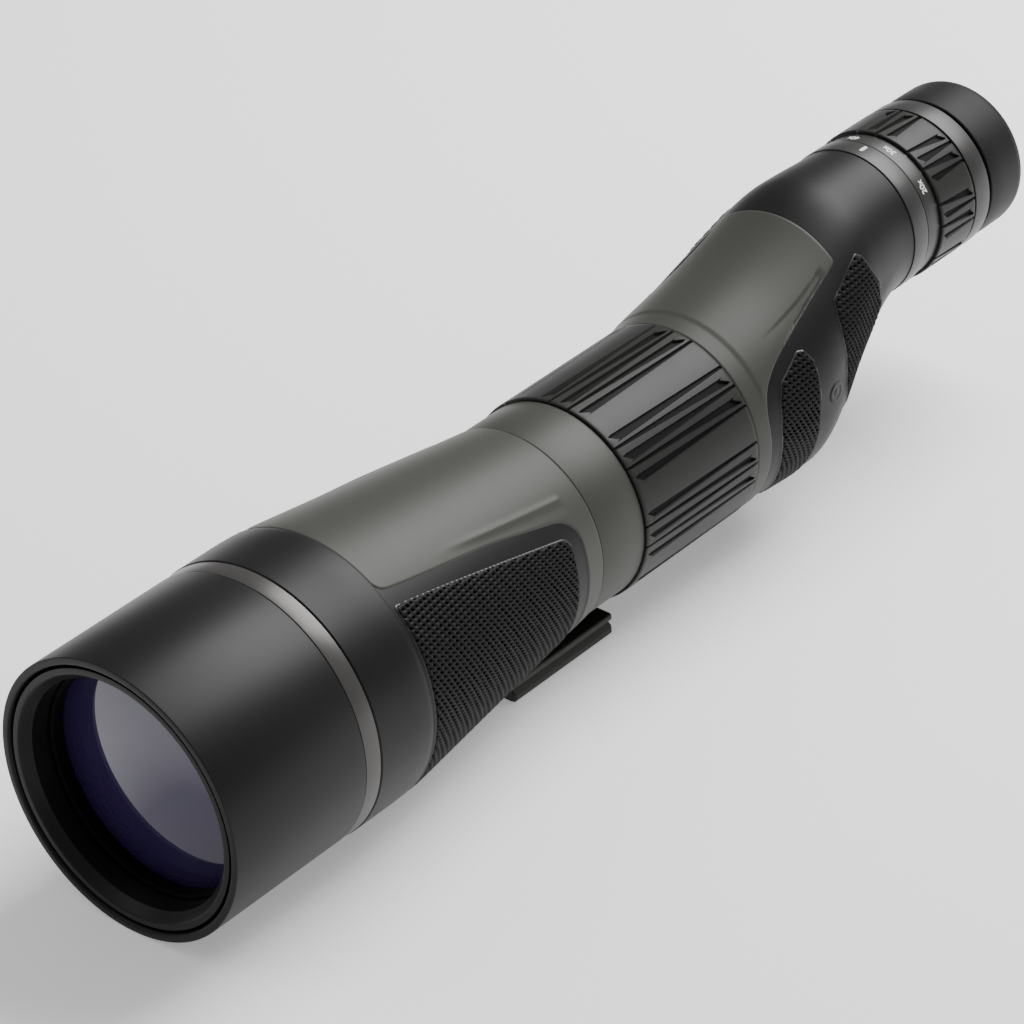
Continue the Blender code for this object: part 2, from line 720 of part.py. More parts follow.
def make_barrel():
    shoulder = BARREL_FRONT + SHOULDER_LENGTH
    tube_rear = HOUSING_FRONT + HOUSING_END_WALL
    inside_rear = BARREL_REAR - BARREL_REAR_WALL
    outline = [(BARREL_FRONT, BARREL_RADIUS - 0.5), (BARREL_FRONT + 0.5, BARREL_RADIUS)]
    outline += [(s, barrel_radius(s)) for s in barrel_stations(BARREL_FRONT, ARMOUR_FRONT - CLEAR)[1:]]
    seat = barrel_stations(ARMOUR_FRONT - CLEAR, ARMOUR_REAR + CLEAR)
    outline += [(station, barrel_radius(station) - SKIN) for station in seat]
    outline += [(ARMOUR_REAR + CLEAR, barrel_radius(ARMOUR_REAR + CLEAR)), (BARREL_REAR, BARREL_REAR_RADIUS)]
    outline += [(BARREL_REAR, REAR_TUBE_RADIUS), (tube_rear, REAR_TUBE_RADIUS), (tube_rear, REAR_TUBE_BORE)]
    outline += [(inside_rear, REAR_TUBE_BORE), (inside_rear, barrel_inside(inside_rear))]
    bore = TUBE_RADIUS + CLEAR
    meets = min(shoulder + ROUND_OVER / 2, inside_rear - 5.0)
    outline += [(meets, barrel_bore(meets))]
    outline += [(BARREL_FRONT + TUBE_ENGAGEMENT + 4.0, bore), (BARREL_FRONT, bore)]
    barrel = turned("main_barrel", "black_satin", outline, LARGE)
    travel = FOCUS_LEAD * FOCUS_TURN / 360.0 + FOCUS_PIN_RADIUS + SLIDE_CLEAR
    middle = along(focus_pin_station())
    side = FOCUS_PIN_RADIUS + SLIDE_CLEAR
    slot = block(
        "focus_slot_cutter", None, (-side, middle - travel, REAR_TUBE_BORE - 5.0),
        (side, middle + travel, REAR_TUBE_RADIUS + 5.0), AXIS_HEIGHT,
    )
    cut(barrel, slot)
    baffle = shoulder + BAFFLE_SETBACK
    baffle_rear = baffle + BAFFLE_WIDTH
    rim = barrel_bore(baffle_rear) - CLEAR
    outline = ring_outline(baffle, baffle_rear, rim - BAFFLE_DEPTH, rim)
    turned("stray_light_baffle", "inner_black", outline, LENS)


def armour_stations(front, rear):
    """The barrel's stations, with even steps added where the armour's outlines swing."""
    stations = barrel_stations(front, rear)
    return stations[:-1] + fan(stations[-2], rear, 5)[1:]


def saddle_rows(margin):
    rows = []
    for station in armour_stations(ARMOUR_FRONT - margin, ARMOUR_REAR + margin):
        low = saddle_edge(station) - degrees_for(margin, barrel_radius(station))
        rows.append([(station, angle) for angle in fan(low, 180.0 - low, 11)])
    return rows


def barrel_grip_rows(margin):
    """Rows of the right-hand grip, from its upper edge down to near the bottom line."""
    front = ARMOUR_FRONT + 1.2 - margin
    rear = ARMOUR_REAR - GRIP_REAR_BORDER + margin
    rows = []
    for station in armour_stations(front, rear):
        spread = degrees_for(margin, barrel_radius(station))
        high = barrel_grip_edge(station) + spread
        rows.append([(station, angle) for angle in fan(-80.0 - spread, high, 11)])
    return rows


def make_barrel_armour():
    stations = barrel_stations(ARMOUR_FRONT, ARMOUR_REAR)
    angles = [360.0 * step / LARGE for step in range(LARGE)]
    rows = [[(station, angle) for angle in angles] for station in stations]
    floor = SKIN - CLEAR
    armour = skin("barrel_armour", "black_rubber", barrel_point, rows, floor, 0.0, around=True)
    cut(armour, skin("saddle_cutter", None, barrel_point, saddle_rows(CLEAR), SKIN + 2, -4.0))
    skin("barrel_top_saddle", "grey_armour", barrel_point, saddle_rows(0.0), floor, 0.0)
    grip = GRIP_DEPTH - CLEAR
    for side, flip in (("right", list), ("left", mirrored)):
        cutter = skin(
            f"barrel_grip_cutter_{side}", None, barrel_point, flip(barrel_grip_rows(CLEAR)), GRIP_DEPTH, -4.0
        )
        cut(armour, cutter)
        rows = flip(barrel_grip_rows(0.0))
        skin(f"barrel_grip_{side}", "grip_rubber", barrel_point, rows, grip, -GRIP_PROUD)


def lock_point(radius, station=None):
    middle = (COLLAR_FRONT + COLLAR_REAR) / 2
    return round_axis(radius, LOCK_ANGLE, middle if station is None else station)


def make_mount():
    collar = turned(
        "mount_collar", "grey_paint",
        ring_outline(COLLAR_FRONT, COLLAR_REAR, COLLAR_BORE, COLLAR_RADIUS), LARGE,
    )
    foot_top = FOOT_THICKNESS - AXIS_HEIGHT
    low = (-PEDESTAL_WIDTH / 2, along(COLLAR_FRONT), foot_top + CLEAR)
    high = (PEDESTAL_WIDTH / 2, along(COLLAR_REAR), -COLLAR_BORE + 1.0)
    join(collar, block("pedestal_shape", None, low, high, AXIS_HEIGHT))
    boss_top = COLLAR_RADIUS + LOCK_BOSS_HEIGHT
    join(collar, rod("lock_boss_shape", None, lock_point(COLLAR_BORE + 0.8), lock_point(boss_top),
                     LOCK_BOSS_RADIUS, LENS, AXIS_HEIGHT))
    bore = turned(
        "collar_bore_cutter", None,
        [
            (COLLAR_FRONT - 5, 0.0), (COLLAR_FRONT - 5, COLLAR_BORE),
            (COLLAR_REAR + 5, COLLAR_BORE), (COLLAR_REAR + 5, 0.0),
        ],
        LARGE,
    )
    cut(collar, bore)
    cut(collar, rod("lock_bore_cutter", None, lock_point(COLLAR_BORE - 4), lock_point(boss_top + 4),
                    LOCK_STUD_RADIUS + CLEAR, LENS, AXIS_HEIGHT))
    shoe_rear = COLLAR_BORE + CLEAR + LOCK_SHOE_LENGTH
    rod("brake_shoe", "felt", lock_point(COLLAR_BORE + CLEAR), lock_point(shoe_rear), LOCK_STUD_RADIUS,
        TINY, AXIS_HEIGHT)
    make_lock(shoe_rear + CLEAR, boss_top + CLEAR)
    plate = make_foot_plate()
    middle = along((COLLAR_FRONT + COLLAR_REAR) / 2)
    head_floor = SCREW_HEAD_HEIGHT + 0.6
    for name, side in (("front", -1), ("rear", 1)):
        y = middle + side * SCREW_SPACING / 2
        shank = SCREW_RADIUS + CLEAR
        cut(plate, rod(f"shank_cutter_{name}", None, (0, y, -5), (0, y, AXIS_HEIGHT / 2), shank))
        head_radius = SCREW_HEAD_RADIUS + CLEAR
        cut(plate, rod(f"head_cutter_{name}", None, (0, y, -5), (0, y, head_floor), head_radius, LENS))
        top = SCREW_LENGTH + head_floor
        below = (0, y, -5 - AXIS_HEIGHT)
        tip = rod(f"tap_cutter_{name}", None, below, (0, y, top + 1.0 - AXIS_HEIGHT), shank,
                  TINY, AXIS_HEIGHT)
        cut(collar, tip)
        make_screw(f"foot_screw_{name}", y, head_floor - CLEAR, top)


def make_screw(name, y, head_top, top):
    """A socket-head screw standing on its head."""
    bottom = head_top - SCREW_HEAD_HEIGHT
    screw = rod(name, "steel", (0, y, bottom), (0, y, head_top), SCREW_HEAD_RADIUS, LENS)
    join(screw, rod(name + "_shank_shape", None, (0, y, head_top - 0.5), (0, y, top), SCREW_RADIUS))
    cut(screw, rod(name + "_socket_cutter", None, (0, y, bottom - 1), (0, y, bottom + 2.0), 1.7, 6))


def make_foot_plate():
    half = FOOT_WIDTH / 2
    top = FOOT_THICKNESS
    upper = top - FOOT_UPPER_FLANGE
    groove = (upper + FOOT_LOWER_FLANGE) / 2
    right = [
        (half - FOOT_CHAMFER, 0.0), (half, FOOT_CHAMFER), (half, FOOT_LOWER_FLANGE),
        (half - FOOT_GROOVE_DEPTH, groove - 0.4), (half - FOOT_GROOVE_DEPTH, groove + 0.4),
        (half, upper), (half, top - 0.4), (half - 0.4, top),
    ]
    outline = right + [(-x, z) for x, z in right[::-1]]
    plate = extruded(
        "foot_plate", "foot_metal", outline, lambda x, z, y: (x, y - FOOT_LENGTH / 2, z), FOOT_LENGTH
    )
    y = -BUSHING_AHEAD
    cut(plate, rod("bushing_cutter", None, (0, y, -5), (0, y, top + 5), BUSHING_RADIUS + CLEAR, LENS))
    bushing = rod("tripod_bushing", "brass", (0, y, CLEAR), (0, y, top - CLEAR), BUSHING_RADIUS, LENS)
    cut(bushing, rod("bushing_bore_cutter", None, (0, y, -5), (0, y, top + 5), BUSHING_BORE, LENS))
    return plate


def make_lock(stud_start, knob_start):
    """The lock's knob and its stud. Their parent empty lies on the knob's axis."""
    knob_end = knob_start + LOCK_KNOB_LENGTH
    stud_end = knob_end - 3.0
    knob = rod("lock_knob", "grip_rubber", lock_point(knob_start), lock_point(knob_end), LOCK_KNOB_RADIUS,
               LENS, AXIS_HEIGHT, LOCK_KNOB_RADIUS - 0.8)
    cut(knob, rod("knob_bore_cutter", None, lock_point(knob_start - 3), lock_point(stud_end + CLEAR),
                  LOCK_STUD_RADIUS + CLEAR, TINY, AXIS_HEIGHT))
    stud = rod("lock_stud", "steel", lock_point(stud_start), lock_point(stud_end), LOCK_STUD_RADIUS,
               TINY, AXIS_HEIGHT)
    pivot = bpy.data.objects.new("lock_axis", None)
    place = lock_point(knob_start) + Vector((0, 0, AXIS_HEIGHT))
    turn = lock_point(1.0, FOOT_STATION).to_track_quat("Z", "Y")
    pivot.matrix_world = Matrix.Translation(place * MM) @ turn.to_matrix().to_4x4()
    bpy.context.scene.collection.objects.link(pivot)
    bpy.context.view_layer.update()
    for piece in (knob, stud):
        piece.parent = pivot
        piece.matrix_parent_inverse = pivot.matrix_world.inverted()


def make_focus():
    core = turned(
        "focus_ring_core", "black_satin",
        ring_outline(FOCUS_FRONT, FOCUS_REAR, COLLAR_BORE, FOCUS_CORE_RADIUS), LARGE,
    )
    pin = focus_pin_station()
    width = 2 * (FOCUS_PIN_RADIUS + SLIDE_CLEAR)
    reach = FOCUS_TURN + 6.0
    groove_floor = COLLAR_BORE + 1.4
    cut(core, helical_cutter("focus_groove_cutter", pin, 90.0, FOCUS_LEAD, -reach, reach, COLLAR_BORE - 1.5,
                             groove_floor, width, AXIS_HEIGHT, 32))
    turned(
        "focus_grip", "focus_rubber",
        ring_outline(FOCUS_FRONT, FOCUS_REAR, FOCUS_CORE_RADIUS + CLEAR, FOCUS_RADIUS, 0.5), LARGE,
    )
    rear = pin + 5.0
    front = rear - FOCUS_CELL_LENGTH
    seat = front + FOCUS_CELL_SEAT
    lens_radius = FOCUS_CELL_BORE - CLEAR
    outline = [
        (front, lens_radius - 2.0), (seat, lens_radius - 2.0),
        (seat, FOCUS_CELL_BORE), (rear, FOCUS_CELL_BORE),
        (rear, FOCUS_CELL_RADIUS), (front, FOCUS_CELL_RADIUS),
    ]
    cell = turned("focusing_cell", "inner_black", outline, MEDIUM)
    bore = FOCUS_PIN_RADIUS + CLEAR
    cut(cell, rod("pin_bore_cutter", None, round_axis(FOCUS_CELL_BORE - 3, 90, pin),
                  round_axis(FOCUS_CELL_RADIUS + 3, 90, pin), bore, TINY, AXIS_HEIGHT))
    rod("focus_drive_pin", "steel", round_axis(FOCUS_CELL_BORE + 0.5, 90, pin),
        round_axis(groove_floor - CLEAR, 90, pin), FOCUS_PIN_RADIUS, TINY, AXIS_HEIGHT)
    lens("focusing_lens", lens_radius, seat + CLEAR, seat + CLEAR + 5.0, 1.2, -1.0)


def housing_ring(shape, station, depth):
    return [shape.verts.new(housing_point(station, angle, depth)) for angle in AROUND]


def hole_ring(shape, station, radius, height):
    """A round hole whose flats, not whose corners, lie at the radius."""
    corner = radius / math.cos(math.radians(90.0 - SIDE_ANGLE) / ARCH_STEPS / 2)
    return [shape.verts.new(round_axis(corner, angle, station) + Vector((0, 0, height))) for angle in AROUND]


def make_housing():
    front_inside = HOUSING_FRONT + HOUSING_END_WALL
    rear_inside = HOUSING_REAR - HOUSING_END_WALL
    front_hole = REAR_TUBE_RADIUS + CLEAR
    rear_hole = EYE_TUBE_RADIUS + CLEAR
    shape = bmesh.new()
    rings = [hole_ring(shape, HOUSING_FRONT, front_hole, 0.0)]
    rings += [housing_ring(shape, station, 0.0) for station in (HOUSING_FRONT, PANEL_FRONT - CLEAR)]
    rings += [housing_ring(shape, s, SKIN) for s in housing_stations(PANEL_FRONT - CLEAR, HOUSING_REAR)]
    rings += [hole_ring(shape, s, rear_hole, EYEPIECE_OFFSET) for s in (HOUSING_REAR, rear_inside)]
    inside = housing_stations(front_inside, rear_inside)[::-1]
    rings += [housing_ring(shape, station, SKIN + HOUSING_WALL) for station in inside]
    rings += [hole_ring(shape, front_inside, front_hole, 0.0)]
    for ring, other in zip(rings, rings[1:] + rings[:1]):
        for first in range(len(AROUND)):
            second = (first + 1) % len(AROUND)
            shape.faces.new((ring[first], ring[second], other[second], other[first]))
    housing = add_object("prism_housing", "black_satin", shape, AXIS_HEIGHT)
    half = WINDOW_WIDTH / 2
    low = (-half, along(PANEL_FRONT + 8.0), HOUSING_RADIUS - 12.0)
    high = (half, along(PANEL_REAR - 8.0), EYEPIECE_OFFSET + 60.0)
    cut(housing, block("window_cutter", None, low, high, AXIS_HEIGHT))


def panel_rows(margin):
    """Rows of the top panel, closer together at the front, where its edge swings down."""
    rows = []
    middle = PANEL_FRONT + 15.0
    for station in fan(PANEL_FRONT - margin, middle, 4) + fan(middle, PANEL_REAR + margin, 4)[1:]:
        low = panel_edge(station) - degrees_for(margin, housing_half_width(station))
        rows.append([(station, angle) for angle in fan(low, 180.0 - low, 12)])
    return rows


def front_grip_rows(margin):
    """A grip pad with a bowed front edge. Its rows run along the housing."""
    rows = []
    rear = PANEL_FRONT + 29.5 + margin
    high = 33.0
    low = -52.0
    for angle in (high, 21.0, 9.0, SIDE_ANGLE, -SIDE_ANGLE, -14.0, -27.0, -40.0, low):
        swing = (angle + 6.0) / (high + 6.0) if angle > -6.0 else (angle + 6.0) / (low + 6.0)
        front = PANEL_FRONT + 5.2 + 18.0 * abs(swing) ** 2.4 - margin
        spread = degrees_for(margin, HOUSING_RADIUS)
        turn = angle + (spread if angle == high else -spread if angle == low else 0.0)
        rows.append([(station, turn) for station in fan(front, rear, 4)])
    return rows


def rear_grip_rows(margin):
    """A leaf-shaped grip pad behind the front one."""
    rows = []
    high = 35.0
    low = -48.0
    for angle in (high, 22.0, 9.0, SIDE_ANGLE, -SIDE_ANGLE, -14.0, -26.0, -38.0, low):
        share = (high - angle) / (high - low)
        front = PANEL_REAR - 5.5 - 5.0 * math.sin(math.pi * min(1.0, share * 1.6)) - 1.5 * share - margin
        rear = PANEL_REAR + 12.0 + 12.0 * math.sin(math.pi * min(1.0, share * 1.1)) - 14.0 * share + margin
        spread = degrees_for(margin, HOUSING_RADIUS)
        turn = angle + (spread if angle == high else -spread if angle == low else 0.0)
        rows.append([(station, turn) for station in fan(front, rear, 4)])
    return rows


BADGE_STATION = PANEL_FRONT + 38.5


def make_housing_armour():
    stations = housing_stations(PANEL_FRONT, HOUSING_REAR)
    rows = [[(station, angle) for angle in AROUND] for station in stations]
    floor = SKIN - CLEAR
    armour = skin("housing_armour", "black_rubber", housing_point, rows, floor, 0.0, around=True)
    cut(armour, skin("panel_cutter", None, housing_point, panel_rows(CLEAR), SKIN + 2, -4.0))
    skin("housing_top_panel", "grey_armour", housing_point, panel_rows(0.0), floor, 0.0)
    grip = GRIP_DEPTH - CLEAR
    for side, flip, out in (("right", list, 1), ("left", mirrored, -1)):
        for name, shape_rows in (("front", front_grip_rows), ("rear", rear_grip_rows)):
            cutter = skin(
                f"{name}_grip_cutter_{side}", None, housing_point, flip(shape_rows(CLEAR)), GRIP_DEPTH, -4.0
            )
            cut(armour, cutter)
            rows = flip(shape_rows(0.0))
            skin(f"{name}_grip_{side}", "grip_rubber", housing_point, rows, grip, -GRIP_PROUD)
        flat = housing_half_width(BADGE_STATION)
        height = housing_point(BADGE_STATION, 0.0, 0.0).z
        face = Vector((out * (flat - BADGE_THICKNESS), along(BADGE_STATION), height))
        recess = rod(f"badge_cutter_{side}", None, face, face + Vector((out * 5.0, 0, 0)),
                     BADGE_RADIUS + CLEAR, LENS, AXIS_HEIGHT)
        cut(armour, recess)
        start = face + Vector((out * CLEAR, 0, 0))
        rod(f"badge_disc_{side}", "warm_metal", start, start + Vector((out * BADGE_THICKNESS, 0, 0)),
            BADGE_RADIUS, LENS, AXIS_HEIGHT)


def make_prisms():
    """A Porro pair whose two sideways steps add up to the eyepiece's upward offset."""
    step = PRISM_STEP
    first = Vector((1, 0, 1)).normalized()
    second = Vector((-1, 0, 1)).normalized()
    plane = PRISM_PLANE
    gap = PRISM_PLATE_THICKNESS / 2 + CLEAR
    make_prism("prism_rear", first * step / 2, first, second, step, along(plane + gap), 1)
    make_prism("prism_front", first * step + second * step / 2, second, first, step, along(plane - gap), -1)
    make_prism_plate(plane, first * step)


def make_prism(name, centre, length_way, width_way, step, face, forward):
    """A right-angle prism on its long face, with blunted tips, and the strap that holds it to the plate."""
    half = PRISM_WIDTH / 2

    def place(u, v, w):
        return centre + length_way * u + width_way * (w - half) + Vector((0, face + forward * v, AXIS_HEIGHT))

    tip = step - PRISM_BLUNTING
    outline = [(-tip, 0.0), (tip, 0.0), (tip, PRISM_BLUNTING), (0.0, step), (-tip, PRISM_BLUNTING)]
    extruded(name, "glass", outline, place, PRISM_WIDTH)
    reach = half + CLEAR
    outer = reach + STRAP_THICKNESS
    top = step + CLEAR
    high = top + STRAP_THICKNESS
    side = STRAP_WIDTH / 2

    def strap_place(u, v, w):
        return centre + width_way * u + length_way * (w - side) + Vector((0, face + forward * v, AXIS_HEIGHT))

    outline = [(-outer, 0.0), (-outer, high), (outer, high), (outer, 0.0), (reach, 0.0), (reach, top)]
    outline += [(-reach, top), (-reach, 0.0)]
    extruded(name.replace("prism", "prism_strap"), "steel", outline, strap_place, STRAP_WIDTH)


def make_prism_plate(plane, crossing):
    shape = bmesh.new()
    front = plane - PRISM_PLATE_THICKNESS / 2
    inset = SKIN + HOUSING_WALL + PRISM_PLATE_GAP
    near = []
    far = []
    for angle in AROUND:
        edge = min(
            (housing_point(s, angle, inset) for s in (front, plane, front + PRISM_PLATE_THICKNESS)),
            key=lambda point: abs(point.x) + abs(point.z - crossing.z),
        )
        near.append(shape.verts.new((edge.x, along(front), edge.z)))
        far.append(shape.verts.new((edge.x, along(front + PRISM_PLATE_THICKNESS), edge.z)))
    shape.faces.new(near)
    shape.faces.new(far[::-1])
    for first in range(len(AROUND)):
        second = (first + 1) % len(AROUND)
        shape.faces.new((near[first], far[first], far[second], near[second]))
    plate = add_object("prism_plate", "inner_black", shape, AXIS_HEIGHT)
    for number, middle in enumerate((Vector(), crossing, Vector((0, 0, EYEPIECE_OFFSET)))):
        start = middle + Vector((0, along(front) - 5, 0))
        end = middle + Vector((0, along(front) + PRISM_PLATE_THICKNESS + 5, 0))
        cut(plate, rod(f"light_hole_cutter_{number}", None, start, end, PRISM_HOLE_RADIUS, LENS, AXIS_HEIGHT))


def make_eyepiece():
    height = EYEPIECE_HEIGHT
    tube_front = HOUSING_REAR - HOUSING_END_WALL
    bore = EYE_TUBE_RADIUS + CLEAR
    index_ring = ring_outline(INDEX_FRONT, INDEX_REAR, bore, NECK_RADIUS)
    turned("index_ring", "warm_metal", index_ring, MEDIUM, height)
    rear_ring = ring_outline(REAR_RING_FRONT, REAR_RING_REAR, bore, REAR_RING_RADIUS)
    turned("eyepiece_rear_ring", "warm_metal", rear_ring, MEDIUM, height)
    neck_rear = REAR_RING_REAR + EYE_NECK_LENGTH
    lens_seat = neck_rear - 12.0
    lip = EYE_LENS_RADIUS - 1.5
    outline = [
        (tube_front, EYE_TUBE_BORE), (REAR_RING_REAR - 4.0, EYE_TUBE_BORE),
        (REAR_RING_REAR - 1.0, lip), (lens_seat, lip),
        (lens_seat, EYE_NECK_BORE), (neck_rear, EYE_NECK_BORE), (neck_rear, EYE_NECK_RADIUS),
        (REAR_RING_REAR, EYE_NECK_RADIUS), (REAR_RING_REAR, EYE_TUBE_RADIUS), (tube_front, EYE_TUBE_RADIUS),
    ]
    barrel = turned("eyepiece_barrel", "inner_black", outline, MEDIUM, height)
    lens_front = lens_seat + CLEAR
    lens("eye_lens", EYE_LENS_RADIUS, lens_front, lens_front + EYE_LENS_EDGE, -0.8, 2.2, height)
    stop = REAR_RING_FRONT + 2.8
    outline = ring_outline(stop, stop + 1.6, FIELD_STOP_RADIUS, EYE_TUBE_BORE - CLEAR)
    turned("field_stop", "inner_black", outline, SMALL, height)
    make_zoom(barrel)


def make_zoom(barrel):
    height = EYEPIECE_HEIGHT
    bore = CAM_RADIUS + CLEAR
    band_rear = ZOOM_FRONT + SCALE_BAND
    outline = [
        (ZOOM_FRONT, bore), (ZOOM_REAR, bore), (ZOOM_REAR, ZOOM_CORE_RADIUS), (band_rear, ZOOM_CORE_RADIUS),
        (band_rear, SCALE_RADIUS), (ZOOM_FRONT, SCALE_RADIUS),
    ]
    turned("zoom_ring", "black_satin", outline, MEDIUM, height)
    outline = ring_outline(ZOOM_GRIP_FRONT, ZOOM_REAR, ZOOM_CORE_RADIUS + CLEAR, ZOOM_RADIUS, 0.4)
    turned("zoom_grip", "focus_rubber", outline, MEDIUM, height)
    cam = turned(
        "zoom_cam_sleeve", "inner_black",
        ring_outline(ZOOM_FRONT, ZOOM_REAR, CAM_BORE, CAM_RADIUS), MEDIUM, height,
    )
    width = 2 * (ZOOM_PIN_RADIUS + SLIDE_CLEAR)
    slack = 4.0
    # A ring turned by +t degrees about +Y carries its slot from angle a to angle a - t.
    groups = (("front", ZOOM_FRONT + 5.6, 0.0, 1), ("rear", ZOOM_REAR - 5.4, 180.0, -1))
    for name, middle, angle, hand in groups:
        cut(cam, helical_cutter(
            f"zoom_slot_cutter_{name}", middle, angle, hand * ZOOM_LEAD, ZOOM_TURN_LOW - slack,
            ZOOM_TURN_HIGH + slack, CAM_BORE - 2, CAM_RADIUS + 2, width, height, 14,
        ))
        ends = sorted(hand * ZOOM_LEAD * turn / 360.0 for turn in (ZOOM_TURN_LOW, ZOOM_TURN_HIGH))
        side = math.cos(math.radians(angle))
        far = EYE_TUBE_RADIUS + 4
        near = EYE_TUBE_BORE - 4
        low = (min(side * near, side * far), along(middle + ends[0]) - width / 2 - 0.4, -width / 2)
        high = (max(side * near, side * far), along(middle + ends[1]) + width / 2 + 0.4, width / 2)
        cut(barrel, block(f"zoom_guide_cutter_{name}", None, low, high, height))
        front = middle - ZOOM_CELL_LENGTH / 2
        rear = middle + ZOOM_CELL_LENGTH / 2
        lip = ZOOM_LENS_RADIUS - 2.0
        outline = [
            (front, lip), (front + 1.5, lip), (front + 1.5, ZOOM_LENS_RADIUS + CLEAR),
            (rear, ZOOM_LENS_RADIUS + CLEAR), (rear, ZOOM_CELL_RADIUS), (front, ZOOM_CELL_RADIUS),
        ]
        cell = turned(f"zoom_{name}_cell", "brass", outline, SMALL, height)
        join(cell, rod(
            f"zoom_pin_shape_{name}", None, round_axis(ZOOM_LENS_RADIUS + 1.0, angle, middle),
            round_axis(CAM_RADIUS - 0.2, angle, middle), ZOOM_PIN_RADIUS, TINY, height,
        ))
        lens_front = front + 1.5 + CLEAR
        lens(f"zoom_{name}_lens", ZOOM_LENS_RADIUS, lens_front, lens_front + 4.0, -0.8, 1.6, height)


def make_eyecup():
    height = EYEPIECE_HEIGHT
    sleeve_rear = EYECUP_REAR - EYECUP_LIP - CLEAR
    guide = ring_outline(EYECUP_FRONT + 0.4, EYECUP_FRONT + 0.4 + GUIDE_LENGTH, GUIDE_BORE, GUIDE_RADIUS)
    turned("eyecup_guide_ring", "inner_black", guide, MEDIUM, height)
    outline = ring_outline(EYECUP_FRONT, sleeve_rear, SLEEVE_BORE, SLEEVE_RADIUS)
    turned("eyecup_sleeve", "inner_black", outline, MEDIUM, height)
    bore = SLEEVE_RADIUS + CLEAR
    lip = EYECUP_REAR - EYECUP_LIP
    outline = [
        (EYECUP_FRONT, bore), (lip, bore), (lip, EYECUP_LIP_RADIUS + 1.5), (lip + 0.6, EYECUP_LIP_RADIUS),
        (EYECUP_REAR - 0.5, EYECUP_LIP_RADIUS), (EYECUP_REAR, EYECUP_LIP_RADIUS + 0.5),
        (EYECUP_REAR, EYECUP_RADIUS - 2.0), (EYECUP_REAR - 1.6, EYECUP_RADIUS - 0.4),
        (EYECUP_REAR - 4.0, EYECUP_RADIUS), (EYECUP_FRONT, EYECUP_RADIUS),
    ]
    turned("eyecup_rubber", "black_rubber", outline, MEDIUM, height)


clear_scene()
make_sunshade()
make_front_tube()
make_name_band()
make_objective()
make_barrel()
make_barrel_armour()
make_mount()
make_focus()
make_housing()
make_housing_armour()
make_prisms()
make_eyepiece()
make_eyecup()
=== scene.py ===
"""Looks for the spotting scope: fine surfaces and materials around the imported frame.

Lengths are in millimetres until a mesh is made. A surface point is given by its place along the optical
axis (Y) and its angle round that axis, in degrees from +X towards +Z.
"""

import json
import math

import bpy
import numpy as np
from mathutils import Matrix, Vector


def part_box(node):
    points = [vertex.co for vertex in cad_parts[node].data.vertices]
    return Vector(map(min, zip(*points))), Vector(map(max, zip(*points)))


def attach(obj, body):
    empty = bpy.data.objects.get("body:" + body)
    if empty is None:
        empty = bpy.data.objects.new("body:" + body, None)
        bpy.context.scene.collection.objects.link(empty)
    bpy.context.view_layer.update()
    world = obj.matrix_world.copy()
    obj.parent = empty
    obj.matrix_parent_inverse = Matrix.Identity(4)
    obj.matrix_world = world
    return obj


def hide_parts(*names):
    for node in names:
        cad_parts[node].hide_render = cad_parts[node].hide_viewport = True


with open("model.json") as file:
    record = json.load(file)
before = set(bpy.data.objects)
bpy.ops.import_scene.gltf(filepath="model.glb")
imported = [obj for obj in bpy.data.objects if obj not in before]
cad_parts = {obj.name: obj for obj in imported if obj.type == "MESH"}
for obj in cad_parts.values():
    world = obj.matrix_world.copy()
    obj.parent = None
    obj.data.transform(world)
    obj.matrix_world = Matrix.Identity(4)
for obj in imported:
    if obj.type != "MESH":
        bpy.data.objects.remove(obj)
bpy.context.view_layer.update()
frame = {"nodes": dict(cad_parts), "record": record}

MM = 0.001
GAP = 0.3  # clearance between neighbouring pieces
FINE = 0.45  # spacing of points on surfaces that carry relief


def span(node):
    """Front and rear of a node along Y, in millimetres."""
    low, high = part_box(node)
    return low.y / MM, high.y / MM


def axis_height(node):
    low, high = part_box(node)
    return (low.z + high.z) / 2 / MM


def outer_radius(node):
    low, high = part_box(node)
    return (high.x - low.x) / 2 / MM


MAIN_AXIS = axis_height("sunshade")
EYE_AXIS = axis_height("index_ring")
EYE_OFFSET = EYE_AXIS - MAIN_AXIS


# Materials


MOTTLE = 26.0  # repeats per metre of a surface's broad unevenness
LATHE_MARKS = 2600.0  # repeats per metre along the axis


def shader_nodes(name):
    made = bpy.data.materials.new(name)
    made.use_nodes = True
    tree = made.node_tree
    return made, tree, tree.nodes["Principled BSDF"]


def position(tree):
    """Object coordinates, which stay with the surface in every view."""
    return tree.nodes.new("ShaderNodeTexCoord").outputs["Object"]


def noise(tree, vector, scale, detail):
    made = tree.nodes.new("ShaderNodeTexNoise")
    made.inputs["Scale"].default_value = scale
    made.inputs["Detail"].default_value = detail
    made.inputs["Roughness"].default_value = 0.5
    tree.links.new(vector, made.inputs["Vector"])
    return made.outputs["Fac"]


def between(tree, factor, low, high):
    """Maps a 0 to 1 value onto low to high."""
    made = tree.nodes.new("ShaderNodeMapRange")
    made.inputs["To Min"].default_value = low
    made.inputs["To Max"].default_value = high
    tree.links.new(factor, made.inputs["Value"])
    return made.outputs["Result"]


def tinted(tree, factor, dark, light):
    made = tree.nodes.new("ShaderNodeMix")
    made.data_type = "RGBA"
    made.inputs["A"].default_value = (*dark, 1.0)
    made.inputs["B"].default_value = (*light, 1.0)
    tree.links.new(factor, made.inputs["Factor"])
    return made.outputs["Result"]


def bump(tree, height, distance):
    made = tree.nodes.new("ShaderNodeBump")
    made.inputs["Strength"].default_value = 1.0
    made.inputs["Distance"].default_value = distance
    tree.links.new(height, made.inputs["Height"])
    return made.outputs["Normal"]


def scaled(colour, share):
    return tuple(channel * share for channel in colour)


